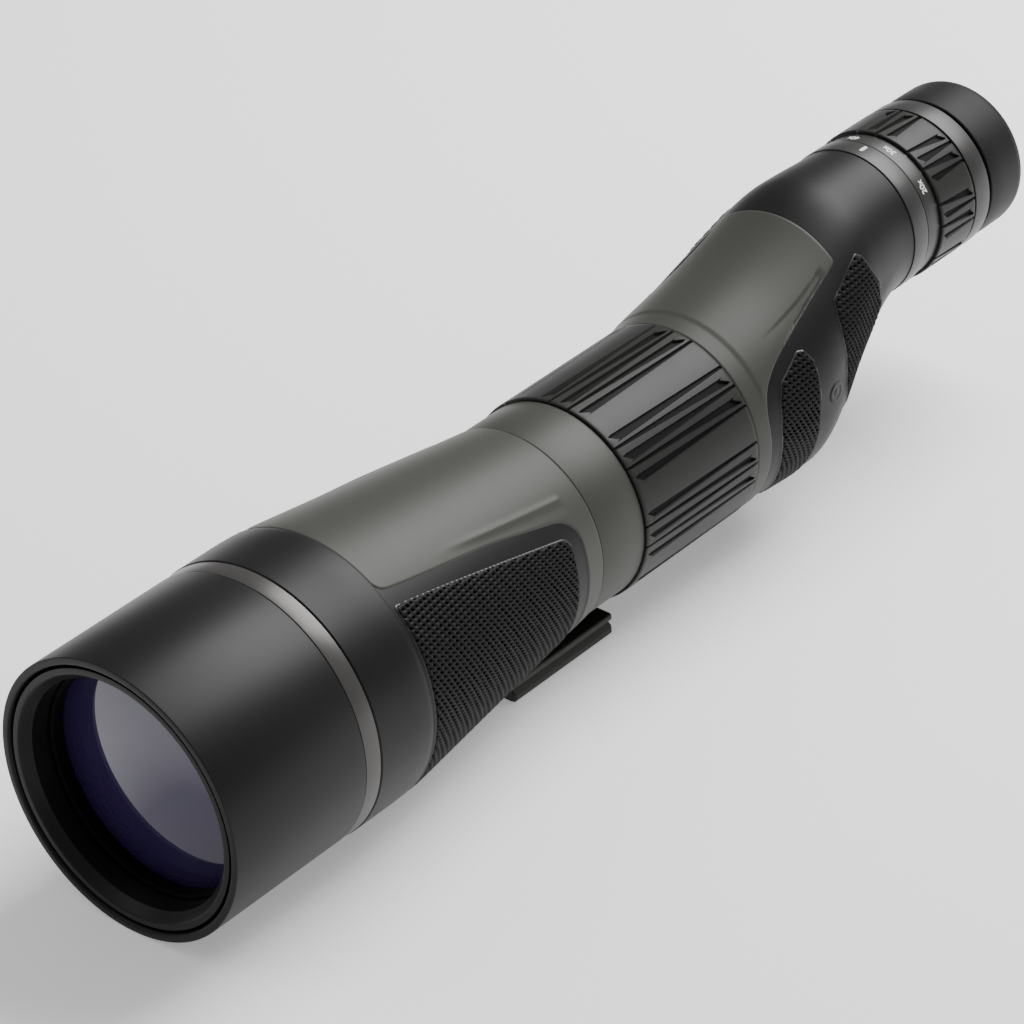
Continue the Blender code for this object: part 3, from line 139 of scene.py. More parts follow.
def surface(name, colour, roughness, grain, grain_depth, spread, roughness_spread, specular, metallic=0.0):
    """A moulded or finished surface: mottled colour, uneven roughness and fine grain."""
    made, tree, shader = shader_nodes(name)
    vector = position(tree)
    broad = noise(tree, vector, MOTTLE, 4.0)
    fine = noise(tree, vector, grain, 2.0)
    broad_share = 0.6
    blend = tree.nodes.new("ShaderNodeMath")
    blend.operation = "MULTIPLY_ADD"
    blend.inputs[1].default_value = broad_share
    tree.links.new(broad, blend.inputs[0])
    tree.links.new(between(tree, fine, 0.0, 1 - broad_share), blend.inputs[2])
    colours = tinted(tree, blend.outputs[0], scaled(colour, 1 - spread), scaled(colour, 1 + spread))
    tree.links.new(colours, shader.inputs["Base Color"])
    rough = between(tree, broad, roughness - roughness_spread, roughness + roughness_spread)
    tree.links.new(rough, shader.inputs["Roughness"])
    shader.inputs["Metallic"].default_value = metallic
    shader.inputs["Specular IOR Level"].default_value = specular
    if grain_depth:
        tree.links.new(bump(tree, fine, grain_depth), shader.inputs["Normal"])
    return made


def turned_metal(name, colour, roughness):
    """Anodised metal with fine lathe marks that run round the axis."""
    made, tree, shader = shader_nodes(name)
    mapping = tree.nodes.new("ShaderNodeMapping")
    mapping.inputs["Scale"].default_value = (20.0, LATHE_MARKS, 20.0)
    tree.links.new(position(tree), mapping.inputs["Vector"])
    lines = noise(tree, mapping.outputs["Vector"], 1.0, 2.0)
    broad = noise(tree, position(tree), 40.0, 3.0)
    colours = tinted(tree, lines, scaled(colour, 0.86), scaled(colour, 1.12))
    tree.links.new(colours, shader.inputs["Base Color"])
    rough = between(tree, broad, roughness - 0.06, roughness + 0.06)
    tree.links.new(rough, shader.inputs["Roughness"])
    shader.inputs["Metallic"].default_value = 0.42
    tree.links.new(bump(tree, lines, 0.00002), shader.inputs["Normal"])
    return made


def coated_glass(name, colour):
    """Dark, mirror-smooth glass with a coating. Its tint is painted lighter towards its edge, at glancing
    angles to the camera, as a painted reflection.
    """
    made, tree, shader = shader_nodes(name)
    facing = tree.nodes.new("ShaderNodeLayerWeight")
    facing.inputs["Blend"].default_value = 0.25
    # The tint turns 1.6 times lighter at glancing angles to the camera: a painted reflection over the
    # coating's own colour.
    tint = tinted(tree, facing.outputs["Facing"], colour, scaled(colour, 1.6))
    tree.links.new(tint, shader.inputs["Base Color"])
    shader.inputs["Roughness"].default_value = 0.02
    shader.inputs["IOR"].default_value = 1.5
    shader.inputs["Coat Weight"].default_value = 0.4
    shader.inputs["Coat Roughness"].default_value = 0.02
    shader.inputs["Coat IOR"].default_value = 1.7
    return made


# Each row is a material's name, colour, roughness, grain in repeats per metre, grain depth in metres, colour
# spread, roughness spread, specular level and, if it isn't 0, metallic share.
SURFACES = {
    "black_satin": ("satin_black", (0.006, 0.006, 0.006), 0.42, 2200.0, 0.00001, 0.1, 0.05, 0.2),
    "black_rubber": ("armour_black", (0.0065, 0.0065, 0.0065), 0.45, 1800.0, 0.00002, 0.12, 0.05, 0.2),
    "eyecup": ("eyecup_rubber", (0.0075, 0.0075, 0.0077), 0.52, 2400.0, 0.00004, 0.1, 0.05, 0.18),
    "grip_rubber": ("grip_rubber", (0.006, 0.006, 0.006), 0.5, 2000.0, 0.00003, 0.12, 0.06, 0.12),
    # rims round the grip pads: lighter than the pads' rubber, a painted highlight along the raised rim
    "rim_rubber_painted_highlight": ("rim_rubber_painted_highlight", (0.014, 0.014, 0.014), 0.36, 2000.0, 0.00001, 0.1, 0.05, 0.5),
    "grey_armour": ("armour_grey", (0.042, 0.0424, 0.0365), 0.46, 1500.0, 0.00002, 0.05, 0.04, 0.26),
    "grey_paint": ("paint_grey", (0.04, 0.0404, 0.0345), 0.46, 1500.0, 0.00001, 0.05, 0.04, 0.26),
    "focus_rubber": ("ribbed_rubber", (0.014, 0.014, 0.0132), 0.45, 2000.0, 0.00002, 0.1, 0.06, 0.24),
    # groove floors of the ribbed grips: the ribbed rubber painted darker, as painted shade in the grooves
    "groove_painted_shade": ("groove_painted_shade", (0.0045, 0.0045, 0.0042), 0.6, 2000.0, 0.00002, 0.15, 0.05, 0.1),
    # pits between the grip's ribs: near black, painted shade in the hollows
    "pit_painted_shade": ("pit_painted_shade", (0.0008, 0.0008, 0.0008), 0.8, 2000.0, 0.00002, 0.15, 0.05, 0.0),
    "foot_metal": ("foot_anodised", (0.022, 0.023, 0.019), 0.4, 1800.0, 0.00001, 0.1, 0.05, 0.4, 0.3),
    "inner_black": ("inner_black", (0.002, 0.002, 0.002), 0.7, 1500.0, 0.00002, 0.2, 0.05, 0.1),
    "felt": ("black_felt", (0.01, 0.01, 0.01), 0.9, 1200.0, 0.0001, 0.3, 0.03, 0.1),
    "paint_white": ("scale_paint", (0.72, 0.72, 0.7), 0.5, 3000.0, 0.0, 0.04, 0.03, 0.4),
}
METALS = {
    "warm_metal": ("anodised_warm", (0.035, 0.0335, 0.0328), 0.4),
    "band_metal": ("anodised_dark", (0.062, 0.059, 0.057), 0.34),
    "steel": ("bright_steel", (0.55, 0.55, 0.56), 0.28),
    "brass": ("turned_brass", (0.6, 0.44, 0.17), 0.3),
}
LOOKS = {look: surface(*row) for look, row in SURFACES.items()}
LOOKS.update({look: turned_metal(*row) for look, row in METALS.items()})
LOOKS["glass"] = coated_glass("coated_glass", (0.02, 0.013, 0.05))


# Meshes

ROUND_SEGMENTS = 192


def add_piece(name, points, faces, look, body, replaced=(), sharp=28.0):
    """A piece from points in millimetres, shaded smooth apart from edges sharper than this angle."""
    mesh = bpy.data.meshes.new(name)
    mesh.from_pydata((np.asarray(points) * MM).tolist(), [], [list(face) for face in faces])
    mesh.validate()
    mesh.materials.append(LOOKS[look])
    mesh.shade_smooth()
    mesh.set_sharp_from_angle(angle=math.radians(sharp))
    made = bpy.data.objects.new(name, mesh)
    bpy.context.scene.collection.objects.link(made)
    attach(made, body)
    if replaced:
        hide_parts(*replaced)
    return made


def rounded(outline, radius, steps=3):
    """A closed outline whose corners are rounded, as far as its shortest sides allow."""
    result = []
    points = [np.array(point, float) for point in outline]
    for index, corner in enumerate(points):
        before = points[index - 1] - corner
        after = points[(index + 1) % len(points)] - corner
        reach = min(radius, np.linalg.norm(before) * 0.45, np.linalg.norm(after) * 0.45)
        start = corner + before / np.linalg.norm(before) * reach
        end = corner + after / np.linalg.norm(after) * reach
        for step in range(steps + 1):
            share = step / steps
            result.append((1 - share) ** 2 * start + 2 * share * (1 - share) * corner + share ** 2 * end)
    return result


def ring_of(points, height, segments):
    """Points turned round an axis along Y at this height."""
    angles = np.arange(segments) * math.tau / segments
    points = np.asarray(points, float)
    radii = points[:, 1][:, None]
    x = radii * np.cos(angles)
    z = radii * np.sin(angles) + height
    y = np.repeat(points[:, 0][:, None], segments, axis=1)
    return np.stack([x, y, z], axis=-1)


def grid_faces(rows, columns, close_rows, close_columns):
    row = np.arange(rows if close_rows else rows - 1)
    column = np.arange(columns if close_columns else columns - 1)
    first, second = np.meshgrid(row, column, indexing="ij")
    next_row = (first + 1) % rows
    next_column = (second + 1) % columns
    corners = (
        first * columns + second, first * columns + next_column,
        next_row * columns + next_column, next_row * columns + second,
    )
    return np.stack(corners, axis=-1).reshape(-1, 4)


def turned(name, outline, look, body, replaced=(), height=MAIN_AXIS, radius=0.3):
    """A ring turned from a closed (y, radius) outline, rearwards along its inside and back outside."""
    outline = rounded(outline, radius) if radius else outline
    points = ring_of(outline, height, ROUND_SEGMENTS)
    faces = grid_faces(len(outline), ROUND_SEGMENTS, True, True)
    return add_piece(name, points.reshape(-1, 3), faces, look, body, replaced)


def tube(front, rear, bore, radius):
    """The outline of a plain ring."""
    return [(front, bore), (rear, bore), (rear, radius), (front, radius)]


def end_caps(faces, rows, segments):
    """Adds the fans that close a turned grid on its axis. The two axis points follow the grid's points."""
    first = rows * segments
    for index in range(segments):
        after = (index + 1) % segments
        faces.append([first, after, index])
        faces.append([first + 1, first - segments + index, first - segments + after])


def disc(name, profile, look, body, replaced, height, segments):
    """A closed body whose (y, radius) profile starts and ends on the axis."""
    inner = ring_of(profile[1:-1], height, segments)
    rows = len(profile) - 2
    points = list(inner.reshape(-1, 3)) + [(0, profile[0][0], height), (0, profile[-1][0], height)]
    faces = [list(face) for face in grid_faces(rows, segments, False, True)]
    end_caps(faces, rows, segments)
    return add_piece(name, points, faces, look, body, replaced)


def closed_sheet(name, top, under, kept, look, body, replaced=(), close_columns=False, sharp=40.0,
                 deep=None):
    """The kept cells of a grid of points, closed by an under sheet and a border.

    The optional last argument is a mark for each point and a second look. The cells whose points are all
    marked take that look, a darker one that paints shade into hollows.
    """
    rows, columns = top.shape[:2]
    cells = grid_faces(rows, columns, False, close_columns)
    cells = cells[kept.reshape(-1)[cells].any(axis=1)]
    count = rows * columns
    edges = np.concatenate([cells[:, [corner, (corner + 1) % 4]] for corner in range(4)])
    key = edges.min(axis=1) * count + edges.max(axis=1)
    _, first, repeats = np.unique(key, return_index=True, return_counts=True)
    border = edges[first[repeats == 1]]
    walls = np.stack([border[:, 1], border[:, 0], border[:, 0] + count, border[:, 1] + count], axis=1)
    faces = np.concatenate([cells, cells[:, ::-1] + count, walls])
    points = np.concatenate([top.reshape(-1, 3), under.reshape(-1, 3)])
    used, place = np.unique(faces, return_inverse=True)
    made = add_piece(name, points[used], place.reshape(faces.shape), look, body, replaced, sharp)
    if deep:
        made.data.materials.append(LOOKS[deep[1]])
        chosen = np.zeros(len(faces), np.int32)
        chosen[:len(cells)] = deep[0].reshape(-1)[cells].all(axis=1)
        made.data.polygons.foreach_set("material_index", chosen)
    return made


def hermite(knots, value):
    """A smooth curve through (place, height, slope) knots, for an array of places."""
    places = np.array([knot[0] for knot in knots])
    heights = np.array([knot[1] for knot in knots])
    slopes = np.array([knot[2] for knot in knots])
    value = np.clip(np.asarray(value, float), places[0], places[-1])
    index = np.clip(np.searchsorted(places, value, side="right") - 1, 0, len(places) - 2)
    width = places[index + 1] - places[index]
    t = (value - places[index]) / width
    return (
        (2 * t ** 3 - 3 * t ** 2 + 1) * heights[index]
        + (t ** 3 - 2 * t ** 2 + t) * width * slopes[index]
        + (3 * t ** 2 - 2 * t ** 3) * heights[index + 1]
        + (t ** 3 - t ** 2) * width * slopes[index + 1]
    )


def smooth_step(value, low, high):
    t = np.clip((value - low) / (high - low), 0.0, 1.0)
    return t * t * (3 - 2 * t)


def soft_least(first, second, blend):
    """The lesser of two values, with the corner between them rounded."""
    mix = np.clip(0.5 + 0.5 * (second - first) / blend, 0.0, 1.0)
    return second * (1 - mix) + first * mix - blend * mix * (1 - mix)


def soft_most(first, second, blend):
    return -soft_least(-first, -second, blend)


def bevelled(within):
    """Height of a skin that slopes down at its border."""
    deepest = -1.3
    return np.maximum(soft_least(within, 0 * within, 0.25), deepest)


def inside_distance(corners, radius, u, v):
    """Distance inside a polygon whose corners are rounded to the radius. It is negative outside."""
    corners = np.array(corners, float)
    nearest = np.full(np.broadcast(u, v).shape, np.inf)
    winding = np.zeros(nearest.shape, bool)
    for index, start in enumerate(corners):
        end = corners[(index + 1) % len(corners)]
        way = end - start
        share = np.clip(((u - start[0]) * way[0] + (v - start[1]) * way[1]) / (way @ way), 0, 1)
        off_u = u - start[0] - share * way[0]
        off_v = v - start[1] - share * way[1]
        nearest = np.minimum(nearest, np.hypot(off_u, off_v))
        if way[1]:
            meets = start[0] + (v - start[1]) / way[1] * way[0]
            crosses = (start[1] > v) != (end[1] > v)
            winding ^= crosses & (u < meets)
    return np.where(winding, nearest, -nearest) + radius


# The barrel's surface

BARREL_FRONT = span("main_barrel")[0]
BARREL_REAR = span("mount_collar")[0] - GAP
BARREL_RADIUS = outer_radius("main_barrel")
COLLAR_RADIUS = 38.3
BARREL_REAR_RADIUS = COLLAR_RADIUS + 0.4
SHOULDER = BARREL_FRONT + 24.5
ROUND_OVER = 16.0  # length over which the shoulder bends
ARMOUR_FRONT, ARMOUR_REAR = span("barrel_armour")
ARMOUR_LENGTH = ARMOUR_REAR - ARMOUR_FRONT
FLUSH = 0.35  # the black armour lies this far under the grey
EDGE = 0.35  # drop of a skin's edge where it meets the next ring
BACK = 1.7  # a grey skin's underside lies this far below its surface
SKIRT = 1.6  # how far a skin's sloping border reaches past its outline


def edge_drop(past_end):
    """How far a skin's rounded end edge drops, from the signed distance past that end."""
    round_length = 0.4
    return EDGE * np.clip((past_end + round_length) / round_length, 0, 1) ** 2


def barrel_radius(y):
    slope = (BARREL_RADIUS - BARREL_REAR_RADIUS) / (BARREL_REAR - SHOULDER)
    run = np.asarray(y, float) - SHOULDER
    bend = slope * (run + ROUND_OVER / 2) ** 2 / (2 * ROUND_OVER)
    taper = np.where(run >= ROUND_OVER / 2, slope * run, bend)
    return BARREL_RADIUS - np.where(run <= -ROUND_OVER / 2, 0.0, taper)


def barrel_points(y, angle, rise):
    radius = barrel_radius(y) + rise
    turn = np.radians(angle)
    return np.stack([radius * np.cos(turn), y + 0 * turn, radius * np.sin(turn) + MAIN_AXIS], axis=-1)


def saddle_edge(y):
    """Angle of the grey saddle's lower edge."""
    knots = (
        (ARMOUR_FRONT, 55.0, -0.2),
        (ARMOUR_FRONT + ARMOUR_LENGTH * 0.52, 47.3, -0.16),
        (ARMOUR_FRONT + ARMOUR_LENGTH * 0.86, 39.0, -0.28),
        (ARMOUR_REAR, 33.0, -0.6),
    )
    return hermite(knots, y)


def ridge_line(y):
    """Angle of the raised line on the saddle."""
    return hermite(((ARMOUR_FRONT + ARMOUR_LENGTH * 0.4, 54.4, -0.17), (ARMOUR_REAR, 45.4, -0.16)), y)


def make_barrel():
    rear = BARREL_REAR
    seam = 0.15
    y = np.linspace(BARREL_FRONT, ARMOUR_FRONT - seam, 24)
    outer = [(value, float(barrel_radius(value))) for value in y]
    inside = outer_radius("front_tube") + GAP
    outline = [(BARREL_FRONT, inside), (outer[-1][0], inside), (outer[-1][0], outer[-1][1] - seam)]
    outline += outer[::-1][1:-1]
    outline += [(BARREL_FRONT + EDGE, outer[0][1]), (BARREL_FRONT, outer[0][1] - EDGE)]
    turned("barrel_front_shell", outline, "black_satin", "scope_tube", ("main_barrel",),
           radius=0)
    y = np.linspace(ARMOUR_FRONT + 0.1, rear - 1.0, 40)
    outer = [(value, float(barrel_radius(value)) - FLUSH) for value in y]
    sleeve_thickness = 2.0
    inner = [(value, radius - sleeve_thickness) for value, radius in outer]
    turned("barrel_black_sleeve", inner + outer[::-1], "black_rubber", "scope_tube",
           ("barrel_armour",), radius=0)
    make_saddle(rear)
    for side in (1, -1):
        make_barrel_grip(side)
    tube_rear = span("focus_ring_core")[0] - 4
    outline = tube(rear - 2, tube_rear, 31.2, 34.0)
    turned("barrel_rear_tube", outline, "inner_black", "scope_tube", radius=0)


def make_saddle(rear):
    """The grey saddle and the ring behind it, as one moulded skin."""
    y = np.arange(ARMOUR_FRONT - SKIRT, rear + 0.01, FINE)
    y[-1] = rear
    angle = np.linspace(-90.0, 270.0, 700, endpoint=False)
    place, turn = np.meshgrid(y, angle, indexing="ij")
    radius = barrel_radius(place)
    from_top = np.abs(turn - 90.0)
    from_edge = np.radians(90.0 - saddle_edge(place) - from_top) * radius
    ring = place - ARMOUR_REAR - 0.1
    within = soft_most(from_edge, ring, 9.0)
    within = soft_least(within, place - ARMOUR_FRONT, 5.0)
    rise = bevelled(within)
    from_ridge = np.radians(90.0 - ridge_line(place) - from_top) * radius
    fade = smooth_step(place, ARMOUR_FRONT + ARMOUR_LENGTH * 0.3, ARMOUR_FRONT + ARMOUR_LENGTH * 0.62)
    fade = fade * (1 - smooth_step(place, ARMOUR_REAR - 1.8, ARMOUR_REAR + 0.4))
    ridge = np.exp(-(from_ridge / 1.3) ** 2)
    hollow = np.exp(-((from_ridge + 3.2) / 2.0) ** 2)
    rise = rise + 0.42 * fade * (ridge - 0.35 * hollow)
    rise = rise - edge_drop(place - rear)
    top = barrel_points(place, turn, rise)
    under = barrel_points(place, turn, -BACK)
    closed_sheet("barrel_grey_saddle", top, under, within > -SKIRT, "grey_armour", "scope_tube",
                 ("barrel_top_saddle",), close_columns=True)


GRIP_SPACING = 0.36  # spacing of points on a textured pad
GRIP_PITCH = 2.15
RIM_WIDTH = 0.8
RIM_RISE = 0.45
PIT_RISE = 0.08
RIB_RISE = 0.55  # height of a rib's top over the pits


def grip_relief(u, v):
    """Ribs that cross, with small slanting pits between them. It is 1 on a rib and 0 in a pit."""
    first = v * 1.02 - u * 0.10
    second = u * 0.86 + v * 0.52
    low = 0.5 + 0.5 * np.cos(math.tau * first / (GRIP_PITCH * 0.92))
    steep = 0.5 + 0.5 * np.cos(math.tau * second / GRIP_PITCH)
    sharpness = 2.2
    return 1 - (1 - low ** sharpness) * (1 - steep ** sharpness)


def rimmed_pad(name, surface_points, place, turn, side, u, v, within):
    """A textured pad inside a thin smooth rim, as two pieces on one side of the scope."""
    visible = name + ("_near" if side > 0 else "_far")
    replaced = name + ("_right" if side > 0 else "_left")
    turn = turn if side > 0 else 180.0 - turn
    outer = soft_least(within * 1.2, RIM_RISE + 0 * within, 0.3)
    inner = soft_least((RIM_WIDTH - within) * 1.2, RIM_RISE + 0 * within, 0.3)
    rise = -FLUSH + np.maximum(np.minimum(outer, inner), -1.0)
    keep = (within > -1.2) & (within < RIM_WIDTH + 1.2)
    top = surface_points(place, turn, rise)
    under = surface_points(place, turn, -FLUSH - 1.5 + 0 * rise)
    # The rim takes a lighter look than the pad: a painted highlight along its raised edge.
    closed_sheet(visible + "_rim", top, under, keep, "rim_rubber_painted_highlight", "scope_tube")
    texture = grip_relief(u, v)
    inside_rim = smooth_step(within, RIM_WIDTH - 0.2, RIM_WIDTH + 0.5)
    field = -FLUSH + PIT_RISE + RIB_RISE * texture * inside_rim
    top = surface_points(place, turn, field)
    # Cells down in the pits take a near-black look: painted shade in the hollows between the ribs.
    closed_sheet(visible + "_field", top, under, within > RIM_WIDTH - 0.4, "grip_rubber", "scope_tube",
                 (replaced,), sharp=180.0, deep=(texture < 0.6, "pit_painted_shade"))


def make_barrel_grip(side):
    front = ARMOUR_FRONT + 1.2
    rear = ARMOUR_REAR - 5.7
    y = np.arange(front - 1.5, rear + 1.5, GRIP_SPACING)
    middle_radius = 46.0
    angle = np.arange(-84.0, 52.0, math.degrees(GRIP_SPACING / middle_radius))
    place, turn = np.meshgrid(y, angle, indexing="ij")
    radius = barrel_radius(place)
    knots = (
        (ARMOUR_FRONT, 47.6, -0.12),
        (ARMOUR_FRONT + ARMOUR_LENGTH * 0.5, 38.8, -0.22),
        (ARMOUR_REAR, 26.2, -0.3),
    )
    upper = np.radians(hermite(knots, place) - turn) * radius
    lower = np.radians(turn + 80.0) * radius
    within = soft_least(upper, rear - place, 4.5)
    within = soft_least(within, place - front, 2.0)
    within = soft_least(within, lower, 4.0)
    up = np.radians(turn) * middle_radius
    rimmed_pad("barrel_grip", barrel_points, place, turn, side, place, up, within)


# The prism housing's surface

HOUSING_FRONT, HOUSING_REAR = span("prism_housing")
PANEL_FRONT, PANEL_REAR = span("housing_top_panel")
HOUSING_RADIUS = 38.9
NECK_RADIUS = outer_radius("index_ring")
EYE_BORE = 24.5
UPRIGHT = 2.0  # degrees each way that the upright sides take up


def housing_section(y):
    """Centres of a section's upper and lower arches over the main axis, and the arches' shared radius."""
    top_end = EYE_OFFSET + NECK_RADIUS
    bottom_end = EYE_OFFSET - NECK_RADIUS
    top = (
        (HOUSING_FRONT, HOUSING_RADIUS, 0.18),
        (HOUSING_REAR - 49.0, top_end - 7.5, 0.46),
        (HOUSING_REAR - 26.6, top_end + 0.1, 0.05),
        (HOUSING_REAR, top_end, 0.0),
    )
    bottom = (
        (HOUSING_FRONT, -HOUSING_RADIUS, 0.1),
        (HOUSING_FRONT + 42.3, -HOUSING_RADIUS - 1.0, 0.0),
        (HOUSING_REAR - 38.5, bottom_end - 22.5, 0.87),
        (HOUSING_REAR - 24.1, bottom_end - 10.5, 0.8),
        (HOUSING_REAR, bottom_end, 0.0),
    )
    side = (
        (HOUSING_FRONT, HOUSING_RADIUS, 0.1),
        (HOUSING_FRONT + 39.1, HOUSING_RADIUS + 1.7, 0.0),
        (HOUSING_REAR - 22.3, NECK_RADIUS + 2.2, -0.13),
        (HOUSING_REAR, NECK_RADIUS, 0.0),
    )
    half_width = hermite(side, y)
    upper = hermite(top, y) - half_width
    lower = np.minimum(hermite(bottom, y) + half_width, upper)
    return upper, lower, half_width


def housing_points(y, angle, rise):
    upper, lower, half_width = housing_section(y)
    turn = np.radians(angle)
    share = np.clip(np.sin(turn) / math.sin(math.radians(UPRIGHT)), -1.0, 1.0)
    centre = (upper + lower) / 2 + (upper - lower) / 2 * share
    radius = half_width + rise
    z = centre + radius * np.sin(turn) + MAIN_AXIS
    return np.stack([radius * np.cos(turn), y + 0 * turn, z], axis=-1)


def housing_angles(spacing):
    """Angles round a section, with the upright sides stepped as finely as the arches."""
    arch = np.arange(UPRIGHT, 180.0 - UPRIGHT, math.degrees(spacing / HOUSING_RADIUS))
    side = np.linspace(-UPRIGHT, UPRIGHT, 20)[1:-1]
    near_side = np.concatenate([[360.0 - UPRIGHT], 360.0 + side])
    far_side = np.concatenate([[180.0 - UPRIGHT], 180.0 + side])
    return np.concatenate([arch, far_side, arch + 180.0, near_side])


def panel_edge(y):
    """Angle of the grey top panel's lower edge."""
    knots = (
        (PANEL_FRONT, 24.0, 2.2),
        (PANEL_FRONT + 8.0, 35.0, 0.9),
        (PANEL_FRONT + 23.5, 42.9, 0.35),
        (PANEL_FRONT + 39.5, 46.7, 0.1),
        (PANEL_REAR, 46.0, -0.1),
    )
    return hermite(knots, y)


def make_housing():
    spacing = 1.2
    y = np.arange(HOUSING_FRONT + 1.0, HOUSING_REAR, spacing)
    y = np.append(y, [HOUSING_REAR - EDGE, HOUSING_REAR])
    place, turn = np.meshgrid(y, housing_angles(spacing), indexing="ij")
    covered = smooth_step(panel_distance(place, turn)[0], 0.8, 2.6)
    rise = -FLUSH - 0.8 * covered - np.where(place > HOUSING_REAR - 0.1, EDGE, 0.0)
    shell_thickness = 2.2
    top = housing_points(place, turn, rise)
    under = housing_points(place, turn, rise - shell_thickness)
    everywhere = np.ones(place.shape, bool)
    closed_sheet("housing_black_shell", top, under, everywhere, "black_rubber", "scope_tube",
                 ("housing_armour", "prism_housing"), close_columns=True)
    outline = tube(HOUSING_REAR - 3.0, HOUSING_REAR - 0.1, EYE_BORE, NECK_RADIUS - 0.6)
    turned("housing_rear_wall", outline, "black_satin", "scope_tube", height=EYE_AXIS)
    make_housing_panel()
    for side in (1, -1):
        make_front_grip(side)
        make_rear_grip(side)
        make_badge(side)


def panel_distance(place, turn):
    """How far a point is inside the grey skin, from the panel's side edge, and from the top in degrees."""
    half_width = housing_section(place)[2]
    from_top = np.abs((turn % 360.0) - 90.0)
    from_top = np.minimum(from_top, 360.0 - from_top)
    from_edge = np.radians(90.0 - panel_edge(place) - from_top) * half_width
    within = soft_most(from_edge, PANEL_FRONT - place, 7.0)
    return soft_least(within, PANEL_REAR - place, 1.6), from_edge, from_top


def make_housing_panel():
    """The grey ring at the housing's front and the top panel, as one moulded skin."""
    y = np.arange(HOUSING_FRONT, PANEL_REAR + SKIRT, FINE)
    place, turn = np.meshgrid(y, housing_angles(FINE), indexing="ij")
    half_width = housing_section(place)[2]
    within, from_edge, from_top = panel_distance(place, turn)
    rise = bevelled(within)
    step = smooth_step(place, PANEL_FRONT - 0.6, PANEL_FRONT + 1.8) * smooth_step(from_edge, -1.0, 5.0)
    rise = rise + 0.35 * step * (1 - smooth_step(place, PANEL_FRONT + 6.0, PANEL_REAR - 20.0))
    along = smooth_step(place, PANEL_FRONT + 10.0, PANEL_FRONT + 34.0)
    along = along * (1 - smooth_step(place, PANEL_REAR - 9.0, PANEL_REAR - 5.0))
    crease_angle = 51.8
    from_crease = np.radians(90.0 - crease_angle - from_top) * half_width
    strip = (1 - smooth_step(from_crease, -0.35, 0.35)) * smooth_step(from_edge, -0.2, 0.6)
    rise = rise - 0.55 * along * strip * smooth_step(rise, -0.4, -0.1)
    rise = rise - edge_drop(HOUSING_FRONT - place)
    top = housing_points(place, turn, rise)
    under = housing_points(place, turn, -BACK + 0 * rise)
    closed_sheet("housing_grey_panel", top, under, within > -SKIRT, "grey_armour", "scope_tube",
                 ("housing_top_panel",), close_columns=True)


def housing_grip(name, side, grid, corners, corner_radius):
    """A pad on the housing's side. The corners are given rearwards of the panel and up the side."""
    front, rear, low, high = grid
    y = np.arange(front, rear, GRIP_SPACING)
    step = math.degrees(GRIP_SPACING / HOUSING_RADIUS)
    arch = np.arange(UPRIGHT, high, step)
    upright = np.linspace(-UPRIGHT, UPRIGHT, 60)[1:-1]
    below = np.arange(low, -UPRIGHT + 0.01, step)
    place, turn = np.meshgrid(y, np.concatenate([below, upright, arch]), indexing="ij")
    up = housing_points(place, turn, 0.0)[..., 2] - MAIN_AXIS
    u = place - PANEL_FRONT
    within = inside_distance(corners, corner_radius, u, np.radians(turn) * HOUSING_RADIUS)
    rimmed_pad(name, housing_points, place, turn, side, u, up, within)


def make_front_grip(side):
    front, rear = span("front_grip_right")
    corners = (
        (22.6, 21.6), (24.4, 20.6), (26.6, 16.0), (27.2, 10.0), (26.9, 0.0), (26.8, -20.0), (26.5, -36.0),
        (14.0, -36.0), (9.5, -18.0), (7.6, -6.0), (7.4, 4.0), (9.0, 13.0), (12.0, 17.6),
    )
    housing_grip("front_grip", side, (front - 8.0, rear + 3.0, -60.0, 40.0), corners, 1.8)


def make_rear_grip(side):
    front, rear = span("rear_grip_right")
    corners = (
        (48.0, 22.2), (64.0, 22.6), (66.2, 19.6), (69.0, 11.0), (73.2, 2.0), (76.5, -4.0), (75.0, -10.0),
        (66.0, -20.0), (56.0, -26.0), (52.0, -18.0), (48.6, -6.0), (47.2, 2.0), (46.4, 10.0), (47.0, 18.0),
    )
    housing_grip("rear_grip", side, (front - 4.0, rear + 14.0, -55.0, 42.0), corners, 1.6)


def make_badge(side):
    """A plain round boss with a raised rim, on the housing's side."""
    node = "badge_disc_right" if side > 0 else "badge_disc_left"
    low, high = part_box(node)
    middle = (low + high) / 2 / MM
    face = float(housing_section(np.array(middle.y))[2]) - FLUSH
    back = 0.8
    segments = 64
    centre_rise = 0.28
    rings = ((1.2, 0.3), (1.7, 0.12), (2.3, 0.12), (2.9, 0.3), (3.5, 0.34), (4.1, 0.2), (4.4, -0.6))
    points = []
    for radius, rise in rings:
        for index in range(segments):
            turn = math.tau * index / segments
            y = middle.y + radius * math.cos(turn)
            z = middle.z + radius * math.sin(turn)
            half_width = float(housing_section(np.array(y))[2])
            points.append((side * (half_width - FLUSH + rise), y, z))
    points.append((side * (face + centre_rise), middle.y, middle.z))
    points.append((side * (face - back), middle.y, middle.z))
    faces = [list(cell) for cell in grid_faces(len(rings), segments, False, True)]
    end_caps(faces, len(rings), segments)
    add_piece("boss_" + ("near" if side > 0 else "far"), points, faces, "black_rubber", "scope_tube",
              (node,), sharp=50.0)


# Front end


